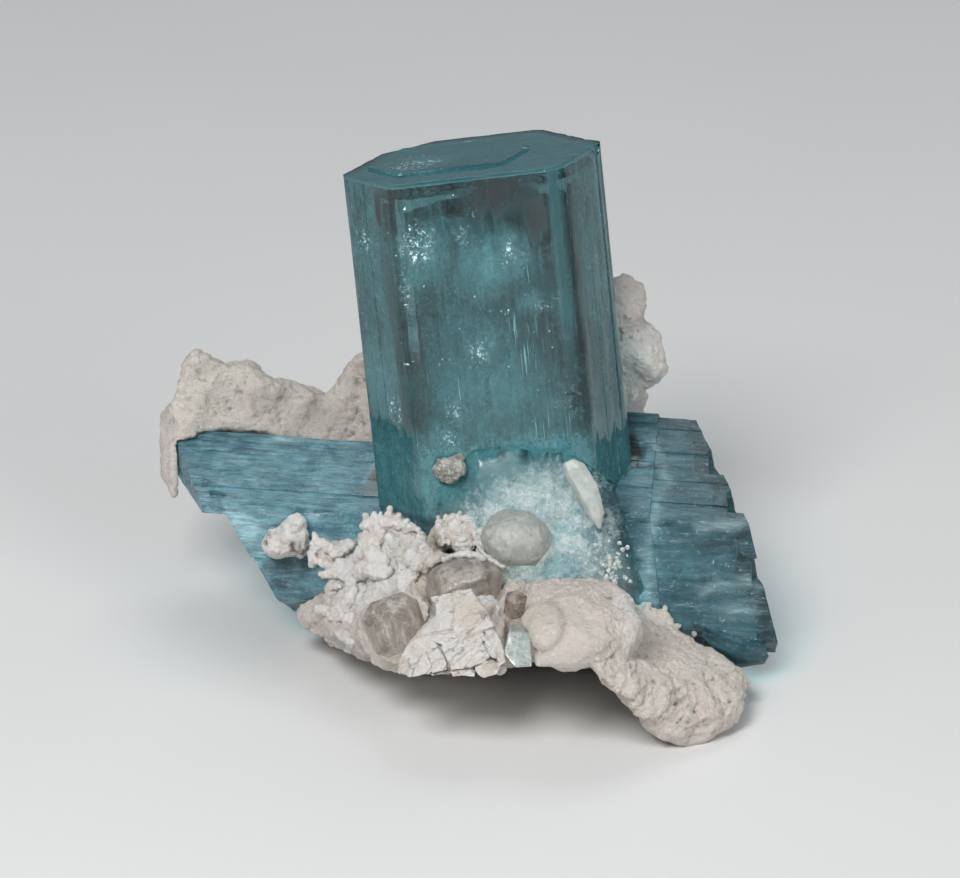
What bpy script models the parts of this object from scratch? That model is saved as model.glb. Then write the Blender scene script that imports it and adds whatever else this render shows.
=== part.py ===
"""Aquamarine crystals on a feldspar matrix with smoky quartz, for Blender 4.5.

A stout six-sided beryl prism stands on a second beryl that lies across the rock. Both are
held in a pale feldspar matrix that stands on four low feet. Lengths are millimetres until
they reach Blender, which gets metres. +X is to the right, +Y away from the front, +Z up, and
the origin is under the middle of the specimen, on the surface that it stands on.
"""

import math
import random

import bmesh
import bpy
from mathutils import Euler, Matrix, Vector

MM = 0.001
GAP = 0.3  # clear space between grains of different minerals
BURY = 1.0  # how far joined shapes reach into each other
WELD = 1e-6  # metres, closes the caps of an extruded outline
ALL_AROUND = 120.0  # a block that holds the whole specimen
MIDDLE = Vector((-1.7, 21.7, 0.0))  # middle of the footprint, measured from the tip of the front foot

# The upright prism. Its axis leans to the left and away, and its section is a stretched hexagon.
UPRIGHT_TOP = Vector((-0.7, 30.4, 50.6))
UPRIGHT_LENGTH = 40.0
LEAN_LEFT = math.radians(5.8)
LEAN_BACK = math.radians(6.9)
UPRIGHT_CORNER = Vector((-8.3, -9.2))  # front left corner of the section, from the axis
UPRIGHT_SIDES = (16.9, 10.3, 11.1, 14.4, 12.8, 8.6)  # front, then on to the right and round
UPRIGHT_TWIST = math.radians(4.3)
UPRIGHT_CHAMFERS = (0.4, 1.2, 0.6, 0.6, 3.8, 0.4)  # narrow faces on the six edges, from front left
SIXTH = math.radians(60.0)
RIB_SPACING = 1.5
RIB_DEPTH = 0.08
TERRACE_HEIGHT = 0.25
TERRACE_SCALE = 0.62
TERRACE_SHIFT = Vector((-2.4, 0.8))
CHIP = (  # a chip out of the right end of the top edge, about the middle of the top
    (10.9, -2.9, 0.8), (12.8, 1.4, 0.8), (14.2, -0.6, 0.8), (13.4, -3.0, 0.8), (12.3, 0.4, -0.9),
    (12.5, -1.2, -1.3),
)

# The lying prisms, side by side on one axis that comes forward to the right.
LYING_YAW = math.radians(-10.0)
LYING_STEEP = math.radians(75.0)  # slope of their front faces
LYING_RIB_DEPTH = 0.16
# Each has its front bottom edge at X 0 (Y, Z), the lengths of its front, upper and back faces,
# where it starts and ends along the axis, the height of its broken underside, and the break at
# its end: a point and the outward normal.
RIGHT_PRISM = {
    "edge": (18.6, 5.4),
    "sides": (11.7, 16.6, 8.5),
    "span": (-6.0, 36.0),
    "floor": 3.4,
    "break": (Vector((26.9, 16.5, 16.6)), Vector((0.96, 0.22, 0.18))),
}
RIGHT_STEPS = ((15.2, 12.4, 0.9), (20.5, 17.4, 1.1), (27.0, 19.6, 0.8))  # Y, Z and depth
OVERGROWTH = {  # a later layer over the right prism, next to the upright one
    "edge": (18.1, 5.2),
    "sides": (12.1, 17.2, 9.0),
    "span": (-4.0, 24.0),
    "floor": 4.1,
    "break": (Vector((17.6, 20.0, 14.0)), Vector((0.98, -0.12, 0.16))),
}
LEFT_PRISM = {
    "edge": (18.8, 6.4),
    "sides": (9.2, 11.8, 9.4),
    "span": (-35.0, 10.0),
    "floor": 3.8,
    "break": (Vector((-28.3, 26.5, 14.3)), Vector((-0.96, -0.28, 0.0))),
}
LEFT_UNDERCUT = (Vector((-22.9, 23.5, 9.6)), Vector((-0.83, 0.10, -0.55)))
UNDERCUT_TOP = 14.2
LEFT_STEP_TOP = 10.2  # below this the front of the left prism stands back
LEFT_STEP_DEPTH = 0.6

VOXEL = 0.62
CRUMB_VOXEL = 0.3
MATRIX_TRIANGLES = 5200
TUFT_TRIANGLES = 420
CRUST_TRIANGLES = 260

# Rounded lumps of the matrix: centre, radii and turn in the plane of the front view.
BACK_LUMPS = (
    ((-16.5, 41.5, 13.6), (7.4, 4.4, 5.6), 0.0),
    ((-9.0, 42.0, 17.0), (5.4, 4.4, 7.6), 0.0),
    ((1.5, 42.6, 18.0), (10.0, 4.2, 9.4), 0.0),
    ((9.0, 42.4, 23.4), (6.0, 4.0, 6.6), 20.0),
    ((14.4, 38.9, 31.6), (2.7, 2.8, 3.0), 0.0),
    ((15.3, 39.2, 26.6), (3.8, 3.4, 3.3), 0.0),
    ((17.8, 38.4, 24.8), (1.5, 2.0, 1.8), 0.0),
    ((14.4, 39.2, 21.4), (2.6, 3.2, 2.6), 0.0),
    ((12.8, 41.4, 25.4), (3.6, 3.6, 7.4), 0.0),
    ((12.6, 40.8, 15.6), (4.4, 4.4, 6.6), 0.0),
    ((-3.0, 44.8, 9.6), (5.2, 3.2, 4.6), 10.0),
    ((8.6, 45.0, 14.6), (4.2, 2.8, 4.4), -20.0),
    ((-12.4, 44.2, 7.0), (4.6, 3.0, 3.4), 0.0),
)
UNDER_LUMPS = (
    ((-10.0, 36.5, 6.8), (10.5, 7.5, 6.4), 0.0),
    ((8.0, 37.5, 7.5), (14.0, 8.0, 7.0), 0.0),
    ((-3.0, 25.0, 5.4), (16.0, 12.0, 5.0), 0.0),
    ((14.0, 24.0, 5.4), (13.0, 11.0, 4.8), 0.0),
    ((-10.6, 16.4, 7.6), (5.6, 6.2, 4.0), -10.0),
    ((-1.0, 38.0, 6.0), (6.0, 8.0, 5.0), 0.0),
    ((4.0, 14.0, 9.0), (11.0, 8.5, 5.0), 0.0),
    ((-7.4, 9.5, 8.8), (4.4, 6.5, 3.6), 0.0),
    ((9.4, 3.6, 12.0), (6.8, 8.0, 3.2), 4.0),
)
FEET = (
    ((-14.5, 36.5, 2.4), (3.4, 3.4, 3.2), 0.0),
    ((17.0, 37.0, 2.4), (4.2, 4.2, 3.2), 0.0),
    ((-6.0, 19.6, 2.2), (3.4, 3.0, 3.4), 0.0),
)
# Larger angular parts of the matrix, each the hull of its corners: wing, hump and front foot.
WING = (
    (-29.2, 38.5, 26.4), (-30.6, 38.3, 24.2), (-31.8, 38.0, 21.5), (-33.2, 37.8, 17.0), (-32.9, 37.2, 14.4),
    (-30.9, 36.0, 12.7), (-27.2, 38.8, 25.6), (-23.6, 39.0, 23.1), (-18.5, 39.5, 20.9), (-15.8, 39.5, 20.2),
    (-19.0, 38.0, 14.0), (-28.8, 44.0, 25.0), (-31.6, 43.5, 17.0), (-29.6, 42.5, 11.6), (-16.0, 44.8, 19.4),
    (-20.0, 44.0, 10.0), (-32.8, 34.8, 13.9), (-31.4, 33.8, 12.4),
)
HUMP = (
    (-15.1, 40.0, 22.0), (-14.0, 40.0, 24.2), (-12.6, 40.0, 25.9), (-7.0, 40.6, 26.2), (-16.6, 39.5, 19.0),
    (-4.0, 41.0, 24.0), (-13.0, 44.6, 24.2), (-6.0, 44.6, 24.6), (-16.0, 44.0, 17.0), (-3.0, 44.4, 17.0),
    (-5.0, 40.0, 16.0),
)
FOOT = (
    (11.9, 14.0, 10.0), (16.0, 15.5, 7.6), (20.9, 14.6, 5.3), (26.4, 12.6, 2.6), (11.4, -5.0, 10.4),
    (13.6, -4.2, 8.0), (15.6, -3.2, 5.9), (17.6, -1.8, 3.9), (19.7, 0.2, -0.4), (22.3, 0.7, -0.4),
    (24.7, 2.8, 1.9), (26.0, 6.0, 3.0), (26.8, 10.0, 2.9), (21.0, 4.4, -0.6), (13.0, 8.0, 4.6),
    (23.5, 12.0, 0.6), (12.0, 2.0, 7.4),
)
# Small white knobs in front of the left prism: centre and radius.
KNOBS = (
    ((-15.6, 18.8, 12.6), 1.3),
    ((-14.0, 18.4, 13.2), 1.2),
    ((-13.3, 17.8, 11.6), 1.3),
    ((-14.4, 17.4, 9.6), 1.3),
    ((-12.4, 17.2, 8.8), 1.5),
    ((-12.0, 16.6, 10.6), 1.3),
    ((-11.0, 16.8, 13.4), 1.6),
    ((-10.6, 16.6, 15.4), 1.4),
    ((-8.8, 16.4, 16.6), 1.6),
    ((-7.2, 15.8, 15.4), 1.3),
    ((-9.8, 14.6, 13.0), 1.9),
    ((-6.8, 13.0, 14.2), 1.7),
    ((-6.2, 13.6, 12.2), 1.9),
    ((-8.8, 13.4, 11.4), 2.0),
    ((-12.0, 14.2, 7.6), 2.2),
    ((-4.0, 11.2, 14.6), 1.5),
    ((-1.4, 10.0, 14.8), 1.4),
    ((-3.4, 14.6, 16.6), 1.5),
    ((-1.4, 13.2, 16.4), 1.3),
    ((-4.6, 15.6, 14.4), 1.7),
)
# Blocky cleavage pieces at the front, each the hull of its corners.
FRONT_BLOCKS = (
    (
        (-8.2, -2.4, 8.6), (-4.4, -4.2, 8.9), (2.6, -3.6, 9.2), (-7.4, -0.4, 11.4), (-2.6, -2.8, 13.0),
        (0.8, -2.6, 12.4), (2.8, 0.0, 12.0), (-7.0, 6.0, 8.8), (2.6, 8.0, 8.8), (-4.8, 4.0, 12.6),
    ),
    (
        (-4.6, -0.6, 12.0), (-3.6, 0.6, 15.2), (0.9, -1.4, 15.6), (2.6, -0.8, 11.8), (-0.2, -3.2, 12.6),
        (-3.4, 5.0, 13.8), (1.8, 4.6, 14.4), (0.4, 6.0, 11.0), (-4.0, 5.0, 10.6),
    ),
    (
        (5.0, -3.4, 14.0), (9.6, -3.6, 14.4), (10.2, -4.6, 10.6), (5.0, -4.2, 10.4), (4.6, 1.5, 15.0),
        (9.6, 1.5, 15.4), (10.8, 4.0, 11.0), (4.2, 4.0, 11.0), (7.0, -5.2, 12.2),
    ),
)
# Thin cracks between the cleavage pieces: centre, half size and turn.
CRACKS = (
    ((-1.6, -3.4, 12.3), (3.6, 1.6, 0.22), (0.0, -18.0, 6.0)),
    ((-4.9, -3.0, 10.4), (0.2, 2.4, 1.9), (0.0, 32.0, 0.0)),
    ((1.6, -3.6, 10.6), (0.2, 2.0, 1.6), (0.0, -36.0, 0.0)),
)

# Corners of the pale etched mass that grew over the foot of the upright prism.
ETCHED_BASE = (
    (-0.6, 18.0, 24.2), (4.0, 17.8, 24.4), (9.4, 18.2, 23.6), (13.2, 18.8, 20.6), (13.8, 16.8, 16.4),
    (16.4, 14.4, 10.6), (15.2, 12.2, 10.2), (8.0, 9.2, 11.4), (0.4, 11.0, 13.2), (-3.8, 15.4, 15.6),
    (-4.6, 18.0, 20.4), (-4.8, 19.0, 13.0), (3.0, 10.4, 15.6), (10.4, 12.0, 15.0), (6.0, 24.0, 10.0),
    (14.0, 22.0, 9.0), (5.0, 22.0, 22.0), (6.6, 14.4, 19.4),
)
# A splinter under the right prism, and a sliver of beryl held between two cleavage pieces.
SPLINTER = (
    (22.2, 13.4, 6.0), (25.6, 12.0, 5.0), (28.8, 12.6, 4.2), (28.4, 13.4, 3.0), (25.6, 13.2, 2.6),
    (22.8, 17.0, 3.6), (27.6, 17.6, 6.6), (22.6, 17.6, 7.0), (28.4, 16.4, 4.2),
)
SLIVER = (
    (2.8, -2.2, 13.4), (4.9, -2.0, 13.2), (5.0, -4.4, 10.7), (3.4, -4.6, 10.7), (2.3, -3.6, 11.8),
    (3.0, 2.0, 12.8), (5.0, 2.0, 12.4), (4.6, 0.0, 9.6), (3.2, 0.0, 9.6),
)

# Quartz grains: centre, axis, radius, half length of the prism and height of the points.
SMOKY_CRYSTAL = ((-8.4, 3.6, 11.6), (0.45, 0.25, 0.86), 3.3, 1.0, 2.2)
SMOKY_CHUNK = ((-1.6, 9.2, 13.5), (0.90, 0.10, 0.35), 2.9, 2.4, 1.5)
PALE_GRAIN = ((3.6, 10.4, 18.2), (0.3, -0.5, 0.8), 3.7, 0.7, 1.3)
BROWN_GRAIN = ((3.4, 1.6, 14.6), (0.1, -0.2, 0.95), 1.1, 0.9, 0.6)
# A slim feldspar blade that lies on the etched mass: rings of corners from the tip upwards.
BLADE_SPINE = (
    (11.9, 13.2, 17.7), (11.6, 13.6, 19.0), (10.6, 14.2, 21.4), (9.3, 14.8, 23.6), (8.7, 15.0, 24.3),
)
BLADE_RADII = (0.12, 0.85, 1.25, 1.2, 0.6)

TUFT_LUMPS = (
    ((-20.4, 22.6, 12.3), (1.6, 1.6, 1.5), 20.0),
    ((-18.9, 22.4, 12.9), (1.7, 1.6, 1.9), 0.0),
    ((-18.5, 22.6, 14.2), (1.1, 1.3, 1.1), 0.0),
    ((-18.0, 22.2, 11.8), (1.0, 1.3, 1.1), 0.0),
)
CRUST_LUMPS = (
    ((-3.2, 17.6, 22.6), (1.5, 1.3, 1.5), 25.0),
    ((-2.4, 17.2, 23.2), (1.1, 1.2, 1.2), 0.0),
)

FINISHES = {  # colour, roughness and transmission
    "aquamarine": ((0.12, 0.38, 0.42), 0.12, 0.7),
    "feldspar": ((0.72, 0.66, 0.58), 0.85, 0.0),
    "smoky_quartz": ((0.36, 0.31, 0.26), 0.25, 0.4),
    "pale_quartz": ((0.48, 0.50, 0.44), 0.35, 0.3),
    "crust": ((0.30, 0.27, 0.22), 0.75, 0.0),
}


def clear_scene():
    """Empty the scene."""
    for thing in list(bpy.data.objects):
        bpy.data.objects.remove(thing)


def collection(name):
    """A new collection in the scene."""
    made = bpy.data.collections.new(name)
    bpy.context.scene.collection.children.link(made)
    return made


def material(name):
    """A Principled material of the named finish."""
    colour, roughness, clearness = FINISHES[name]
    made = bpy.data.materials.new(name)
    made.use_nodes = True
    shader = made.node_tree.nodes["Principled BSDF"]
    shader.inputs["Base Color"].default_value = (*colour, 1.0)
    shader.inputs["Roughness"].default_value = roughness
    shader.inputs["Metallic"].default_value = 0.0
    shader.inputs["Transmission Weight"].default_value = clearness
    return made


def new_object(name, mesh, where):
    """An object for a mesh, in the given collection."""
    made = bpy.data.objects.new(name, mesh)
    where.objects.link(made)
    return made


def mesh_from(bm, name):
    """Turn a bmesh, in millimetres, into a mesh in metres."""
    bmesh.ops.recalc_face_normals(bm, faces=bm.faces)
    bmesh.ops.scale(bm, vec=(MM, MM, MM), verts=bm.verts)
    mesh = bpy.data.meshes.new(name)
    bm.to_mesh(mesh)
    bm.free()
    return mesh


def evaluated_mesh(thing):
    """A mesh with the object's modifiers applied, in world space."""
    bpy.context.view_layer.update()
    graph = bpy.context.evaluated_depsgraph_get()
    mesh = bpy.data.meshes.new_from_object(thing.evaluated_get(graph))
    mesh.transform(thing.matrix_world)
    return mesh


def settle(thing):
    """Apply the object's modifiers and its place to its mesh."""
    mesh = evaluated_mesh(thing)
    thing.modifiers.clear()
    thing.data = mesh
    thing.matrix_world = Matrix.Identity(4)


def combine(target, tools, operation):
    """Join the tools to the target, or cut them out of it, and drop the tools."""
    for tool in tools:
        modifier = target.modifiers.new(tool.name, "BOOLEAN")
        modifier.object = tool
        modifier.operation = operation
        settle(target)
        bpy.data.objects.remove(tool)


def hull(name, corners, where, grow=0.0):
    """The convex solid over some corners, with every face moved out by at least grow."""
    shifts = [(x, y, z) for x in (-grow, grow) for y in (-grow, grow) for z in (-grow, grow)]
    bm = bmesh.new()
    for corner in corners:
        for shift in shifts if grow else [(0.0, 0.0, 0.0)]:
            bm.verts.new(Vector(corner) + Vector(shift))
    made = bmesh.ops.convex_hull(bm, input=bm.verts)
    inside = {v for v in made["geom_interior"] + made["geom_unused"] if isinstance(v, bmesh.types.BMVert)}
    bmesh.ops.delete(bm, geom=list(inside), context="VERTS")
    return new_object(name, mesh_from(bm, name), where)


def slice_flat(bm, planes):
    """Cut a solid flat at each plane, a point and an outward normal, and keep what lies behind it."""
    for point, normal in planes:
        everything = bm.verts[:] + bm.edges[:] + bm.faces[:]
        cut = bmesh.ops.bisect_plane(
            bm, geom=everything, plane_co=point, plane_no=normal, clear_outer=True
        )
        rim = [e for e in cut["geom_cut"] if isinstance(e, bmesh.types.BMEdge)]
        bmesh.ops.edgeloop_fill(bm, edges=rim)


def half_space(name, planes, where):
    """A large block cut down to what lies behind every plane, for use as a cutter."""
    bm = bmesh.new()
    bmesh.ops.create_cube(bm, size=ALL_AROUND, matrix=Matrix.Translation((0.0, 20.0, 20.0)))
    slice_flat(bm, planes)
    return new_object(name, mesh_from(bm, name), where)


def hexagon(sides, first_angle, turn, corner=Vector((0.0, 0.0))):
    """Corners of a six-sided outline with equal angles, walked from a corner in the given turns."""
    corners = []
    for index in range(6):
        corners.append(corner)
        angle = first_angle + index * turn
        corner = corner + sides[index % len(sides)] * Vector((math.cos(angle), math.sin(angle)))
    return corners


def chamfered(corners, widths):
    """Replace each corner by two, the given distance along each side."""
    made = []
    for index, width in enumerate(widths):
        here = corners[index]
        before = (corners[index - 1] - here).normalized()
        after = (corners[(index + 1) % len(corners)] - here).normalized()
        made += [here + before * width, here + after * width]
    return made


def ribbed(corners, spacing, depth, seed):
    """Cut each side into strips that lie a little inside it, like the striations of beryl."""
    chance = random.Random(seed)
    made = []
    for index, start in enumerate(corners):
        side = corners[(index + 1) % len(corners)] - start
        inward = Vector((-side.y, side.x)).normalized()
        strips = round(side.length / spacing)
        made.append(start)
        if strips < 2:
            continue
        level = 0.0
        for strip in range(1, strips):
            place = start + side * ((strip + chance.uniform(-0.25, 0.25)) / strips)
            made.append(place + inward * level)
            level = depth * chance.uniform(0.25, 1.0) if level == 0.0 or chance.random() < 0.6 else 0.0
            level = 0.0 if strip == strips - 1 else level
            made.append(place + inward * level)
    return made


def extruded(name, outline, low, high, matrix, where):
    """A flat outline drawn out along its local Z, then put in place."""
    curve = bpy.data.curves.new(name, "CURVE")
    curve.dimensions = "2D"
    curve.fill_mode = "BOTH"
    curve.extrude = (high - low) / 2 * MM
    spline = curve.splines.new("POLY")
    spline.points.add(len(outline) - 1)
    for point, corner in zip(spline.points, outline):
        point.co = (corner.x * MM, corner.y * MM, 0.0, 1.0)
    spline.use_cyclic_u = True
    drawn = new_object(name, curve, where)
    place = matrix.copy()
    place.translation = matrix @ Vector((0.0, 0.0, (low + high) / 2))
    place.translation *= MM
    drawn.matrix_world = place
    mesh = evaluated_mesh(drawn)
    bpy.data.objects.remove(drawn)
    bm = bmesh.new()
    bm.from_mesh(mesh)
    bmesh.ops.remove_doubles(bm, verts=bm.verts, dist=WELD)
    bmesh.ops.recalc_face_normals(bm, faces=bm.faces)
    bm.to_mesh(mesh)
    bm.free()
    mesh.shade_flat()
    return new_object(name, mesh, where)


def cut_by_planes(thing, planes):
    """Slice an object's mesh flat at each plane."""
    bm = bmesh.new()
    bm.from_mesh(thing.data)
    slice_flat(bm, [(point * MM, normal) for point, normal in planes])
    bmesh.ops.triangulate(bm, faces=bm.faces)
    bmesh.ops.recalc_face_normals(bm, faces=bm.faces)
    bm.to_mesh(thing.data)
    bm.free()


def upright_frame():
    """Place of the upright prism: local Z up its axis, local X across the front, origin at its top."""
    lean = Euler((-LEAN_BACK, 0.0, 0.0)).to_matrix() @ Euler((0.0, -LEAN_LEFT, 0.0)).to_matrix()
    return Matrix.Translation(UPRIGHT_TOP) @ lean.to_4x4()


def upright_outline():
    """The plain six-sided section of the upright prism."""
    return hexagon(UPRIGHT_SIDES, UPRIGHT_TWIST, SIXTH, UPRIGHT_CORNER)


def swept_corners(outline, low, high, matrix):
    """World corners of an outline drawn out from low to high."""
    return [matrix @ Vector((c.x, c.y, z)) for z in (low, high) for c in outline]


def upright_prism(where):
    """The upright prism, with narrow faces on its edges, ribs down its sides and a terrace on top."""
    frame = upright_frame()
    edges = chamfered(upright_outline(), UPRIGHT_CHAMFERS)
    prism = extruded(
        "upright_prism", ribbed(edges, RIB_SPACING, RIB_DEPTH, 3), -UPRIGHT_LENGTH, 0.0, frame, where
    )
    step = [corner * TERRACE_SCALE + TERRACE_SHIFT for corner in upright_outline()]
    terrace = extruded("terrace", step, -BURY, TERRACE_HEIGHT, frame, where)
    combine(prism, [terrace], "UNION")
    chip = hull("chip", [frame @ Vector(corner) for corner in CHIP], where)
    combine(prism, [chip], "DIFFERENCE")
    return prism


def lying_frame(form):
    """Place of a lying prism: local Z along its axis to the right, origin on its front bottom edge."""
    along = Vector((math.cos(LYING_YAW), math.sin(LYING_YAW), 0.0))
    up = Vector((0.0, 0.0, 1.0))
    away = up.cross(along)
    columns = Matrix((away, up, along)).transposed()
    return Matrix.Translation((0.0, *form["edge"])) @ columns.to_4x4()


def lying_outline(form):
    """Section of a lying prism, walked up its steep front face, away over the top and down."""
    corners = hexagon(form["sides"], LYING_STEEP, -SIXTH)
    return corners[::-1]


def lying_prism(name, form, seed, where):
    """A lying prism with ribs along its length, broken at one end and underneath."""
    outline = ribbed(lying_outline(form), RIB_SPACING, LYING_RIB_DEPTH, seed)
    prism = extruded(name, outline, *form["span"], lying_frame(form), where)
    underside = (Vector((0.0, 0.0, form["floor"])), Vector((0.0, 0.0, -1.0)))
    cut_by_planes(prism, [form["break"], underside])
    return prism


def lying_room(name, form, where, grow):
    """A plain solid that takes in a lying prism with clear space around it."""
    corners = swept_corners(lying_outline(form), *form["span"], lying_frame(form))
    room = hull(name, corners, where, grow)
    point, normal = form["break"]
    floor = Vector((0.0, 0.0, form["floor"] - grow))
    cut_by_planes(room, [(point + normal * grow, normal), (floor, Vector((0.0, 0.0, -1.0)))])
    return room


def left_notches(where):
    """The undercut at the left end of the left prism, and the step along the foot of its front."""
    point, outward = LEFT_UNDERCUT
    ceiling = (Vector((0.0, 0.0, UNDERCUT_TOP)), Vector((0.0, 0.0, 1.0)))
    undercut = half_space("undercut", [(point, -outward), ceiling], where)
    away = Vector((-math.sin(LYING_YAW), math.cos(LYING_YAW), 0.0))
    face = away * math.sin(LYING_STEEP) - Vector((0.0, 0.0, math.cos(LYING_STEEP)))
    shelf = (Vector((0.0, 0.0, LEFT_STEP_TOP)), Vector((0.0, 0.0, 1.0)))
    set_back = (Vector((0.0, *LEFT_PRISM["edge"])) + face * LEFT_STEP_DEPTH, face)
    step = half_space("front_step_cut", [shelf, set_back], where)
    return [undercut, step]


def right_notches(where):
    """Shallow steps along the broken right end."""
    point, normal = RIGHT_PRISM["break"]
    made = []
    for y, z, reach in RIGHT_STEPS:
        brink = point.x - ((y - point.y) * normal.y + (z - point.z) * normal.z) / normal.x
        inner = [(brink - reach, y + dy, z + dz) for dy in (-1.6, 2.0) for dz in (-1.5, 0.9)]
        outer = [(brink + 5.0, y + dy, z + dz) for dy in (-2.4, 3.2) for dz in (-2.6, 2.4)]
        made.append(hull("right_notch", inner + outer, where))
    return made


def aquamarine(where):
    """The lying prisms, the upright prism and the etched mass, grown into one solid."""
    crystal = lying_prism("aquamarine_crystals", RIGHT_PRISM, 5, where)
    combine(crystal, right_notches(where), "DIFFERENCE")
    left = lying_prism("left_prism", LEFT_PRISM, 8, where)
    combine(left, left_notches(where), "DIFFERENCE")
    extras = [
        left,
        lying_prism("overgrowth", OVERGROWTH, 2, where),
        upright_prism(where),
        hull("etched_base", ETCHED_BASE, where),
        hull("splinter", SPLINTER, where),
    ]
    combine(crystal, extras, "UNION")
    return crystal


def aquamarine_room(where, grow):
    """Plain convex solids that take in each crystal with clear space around it, to cut its neighbours."""
    upright = swept_corners(upright_outline(), -UPRIGHT_LENGTH, TERRACE_HEIGHT, upright_frame())
    return [
        hull("upright_room", upright, where, grow),
        hull("etched_room", ETCHED_BASE, where, grow),
        hull("splinter_room", SPLINTER, where, grow),
        lying_room("right_room", RIGHT_PRISM, where, grow),
        lying_room("overgrowth_room", OVERGROWTH, where, grow),
        lying_room("left_room", LEFT_PRISM, where, grow),
    ]


def quartz_corners(centre, axis, radius, half_length, point_height):
    """Corners of a six-sided quartz grain with a point at each end."""
    axis = Vector(axis).normalized()
    turn = Vector((0.0, 0.0, 1.0)).rotation_difference(axis)
    ring = [
        Vector((radius * math.cos(a), radius * math.sin(a), 0.0))
        for a in (math.radians(60.0 * k + 15.0) for k in range(6))
    ]
    local = [c + Vector((0.0, 0.0, z)) for z in (-half_length, half_length) for c in ring]
    tip = half_length + point_height
    local += [c * 0.3 + Vector((0.0, 0.0, z)) for z in (-tip, tip) for c in ring[::2]]
    return [Vector(centre) + turn @ c for c in local]


def blade_corners():
    """Corners of the slim feldspar blade, ring by ring along its spine."""
    corners = []
    spine = [Vector(p) for p in BLADE_SPINE]
    along = (spine[-1] - spine[0]).normalized()
    across = along.cross(Vector((0.0, 1.0, 0.0))).normalized()
    deep = along.cross(across)
    for place, radius in zip(spine, BLADE_RADII):
        corners += [
            place + across * radius * math.cos(a) + deep * radius * 0.7 * math.sin(a)
            for a in (math.radians(60.0 * k) for k in range(6))
        ]
    return corners


def add_lump(bm, centre, radii, turn):
    """Add a rounded lump to a bmesh."""
    place = Matrix.Translation(centre) @ Euler((0.0, math.radians(turn), 0.0)).to_matrix().to_4x4()
    bmesh.ops.create_icosphere(bm, subdivisions=3, radius=1.0, matrix=place @ Matrix.Diagonal((*radii, 1.0)))


def roughen(thing, pattern, size, strength):
    """Push the surface in and out by one of Blender's procedural textures."""
    texture = bpy.data.textures.new(pattern.lower(), pattern)
    texture.noise_scale = size * MM
    modifier = thing.modifiers.new(pattern, "DISPLACE")
    modifier.texture = texture
    modifier.texture_coords = "GLOBAL"
    modifier.strength = strength * MM
    modifier.mid_level = 0.5


def fuse(thing, voxel):
    """Melt overlapping lumps into one skin."""
    modifier = thing.modifiers.new("fuse", "REMESH")
    modifier.mode = "VOXEL"
    modifier.voxel_size = voxel * MM


def thin_out(thing, triangles):
    """Bring the mesh down to about this many triangles."""
    count = sum(len(p.vertices) - 2 for p in thing.data.polygons)
    modifier = thing.modifiers.new("thin", "DECIMATE")
    modifier.ratio = min(1.0, triangles / count)
    modifier.use_collapse_triangulate = True
    settle(thing)


def keep_largest(thing):
    """Drop crumbs that a cut left loose."""
    bm = bmesh.new()
    bm.from_mesh(thing.data)
    unseen = set(bm.verts)
    bodies = []
    while unseen:
        body, queue = set(), [unseen.pop()]
        while queue:
            vert = queue.pop()
            body.add(vert)
            near = {e.other_vert(vert) for e in vert.link_edges} & unseen
            unseen -= near
            queue += near
        bodies.append(body)
    bodies.sort(key=len)
    for crumb in bodies[:-1]:
        bmesh.ops.delete(bm, geom=list(crumb), context="VERTS")
    bm.to_mesh(thing.data)
    bm.free()


def lumps(name, forms, where):
    """One mesh of many overlapping rounded lumps."""
    bm = bmesh.new()
    for centre, radii, turn in forms:
        add_lump(bm, centre, radii, turn)
    return new_object(name, mesh_from(bm, name), where)


def feldspar_matrix(where):
    """The pale rock: lumps, blocks and white knobs fused into one skin, cut flat under its feet."""
    rock = lumps("feldspar_matrix", BACK_LUMPS + UNDER_LUMPS + FEET, where)
    join([rock, hull("wing", WING, where), hull("hump", HUMP, where), hull("foot", FOOT, where)])
    fuse(rock, VOXEL)
    roughen(rock, "CLOUDS", 5.0, 2.2)
    roughen(rock, "VORONOI", 2.6, 1.6)
    settle(rock)
    knobs = lumps("knobs", [(centre, (radius,) * 3, 0.0) for centre, radius in KNOBS], where)
    join([rock, knobs, *(hull("block", corners, where) for corners in FRONT_BLOCKS)])
    fuse(rock, VOXEL)
    settle(rock)
    keep_largest(rock)
    thin_out(rock, MATRIX_TRIANGLES)
    ground = half_space("ground", [(Vector((0.0, 0.0, 0.0)), Vector((0.0, 0.0, 1.0)))], where)
    combine(rock, [ground, *cracks(where)], "DIFFERENCE")
    return rock


def join(things):
    """Put several meshes into the first of them."""
    bm = bmesh.new()
    for thing in things:
        bm.from_mesh(thing.data)
    bm.to_mesh(things[0].data)
    bm.free()
    for thing in things[1:]:
        bpy.data.objects.remove(thing)


def cracks(where):
    """Thin wedges that open the cracks between the cleavage pieces."""
    made = []
    for centre, half_size, turn in CRACKS:
        bm = bmesh.new()
        place = Matrix.Translation(centre) @ Euler([math.radians(t) for t in turn]).to_matrix().to_4x4()
        bmesh.ops.create_cube(bm, size=2.0, matrix=place @ Matrix.Diagonal((*half_size, 1.0)))
        made.append(new_object("crack", mesh_from(bm, "crack"), where))
    return made


def crumb(name, forms, triangles, where):
    """A small rough grain made of a few rounded lumps."""
    grain = lumps(name, forms, where)
    fuse(grain, CRUMB_VOXEL)
    roughen(grain, "CLOUDS", 1.2, 0.7)
    settle(grain)
    thin_out(grain, triangles)
    return grain


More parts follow.
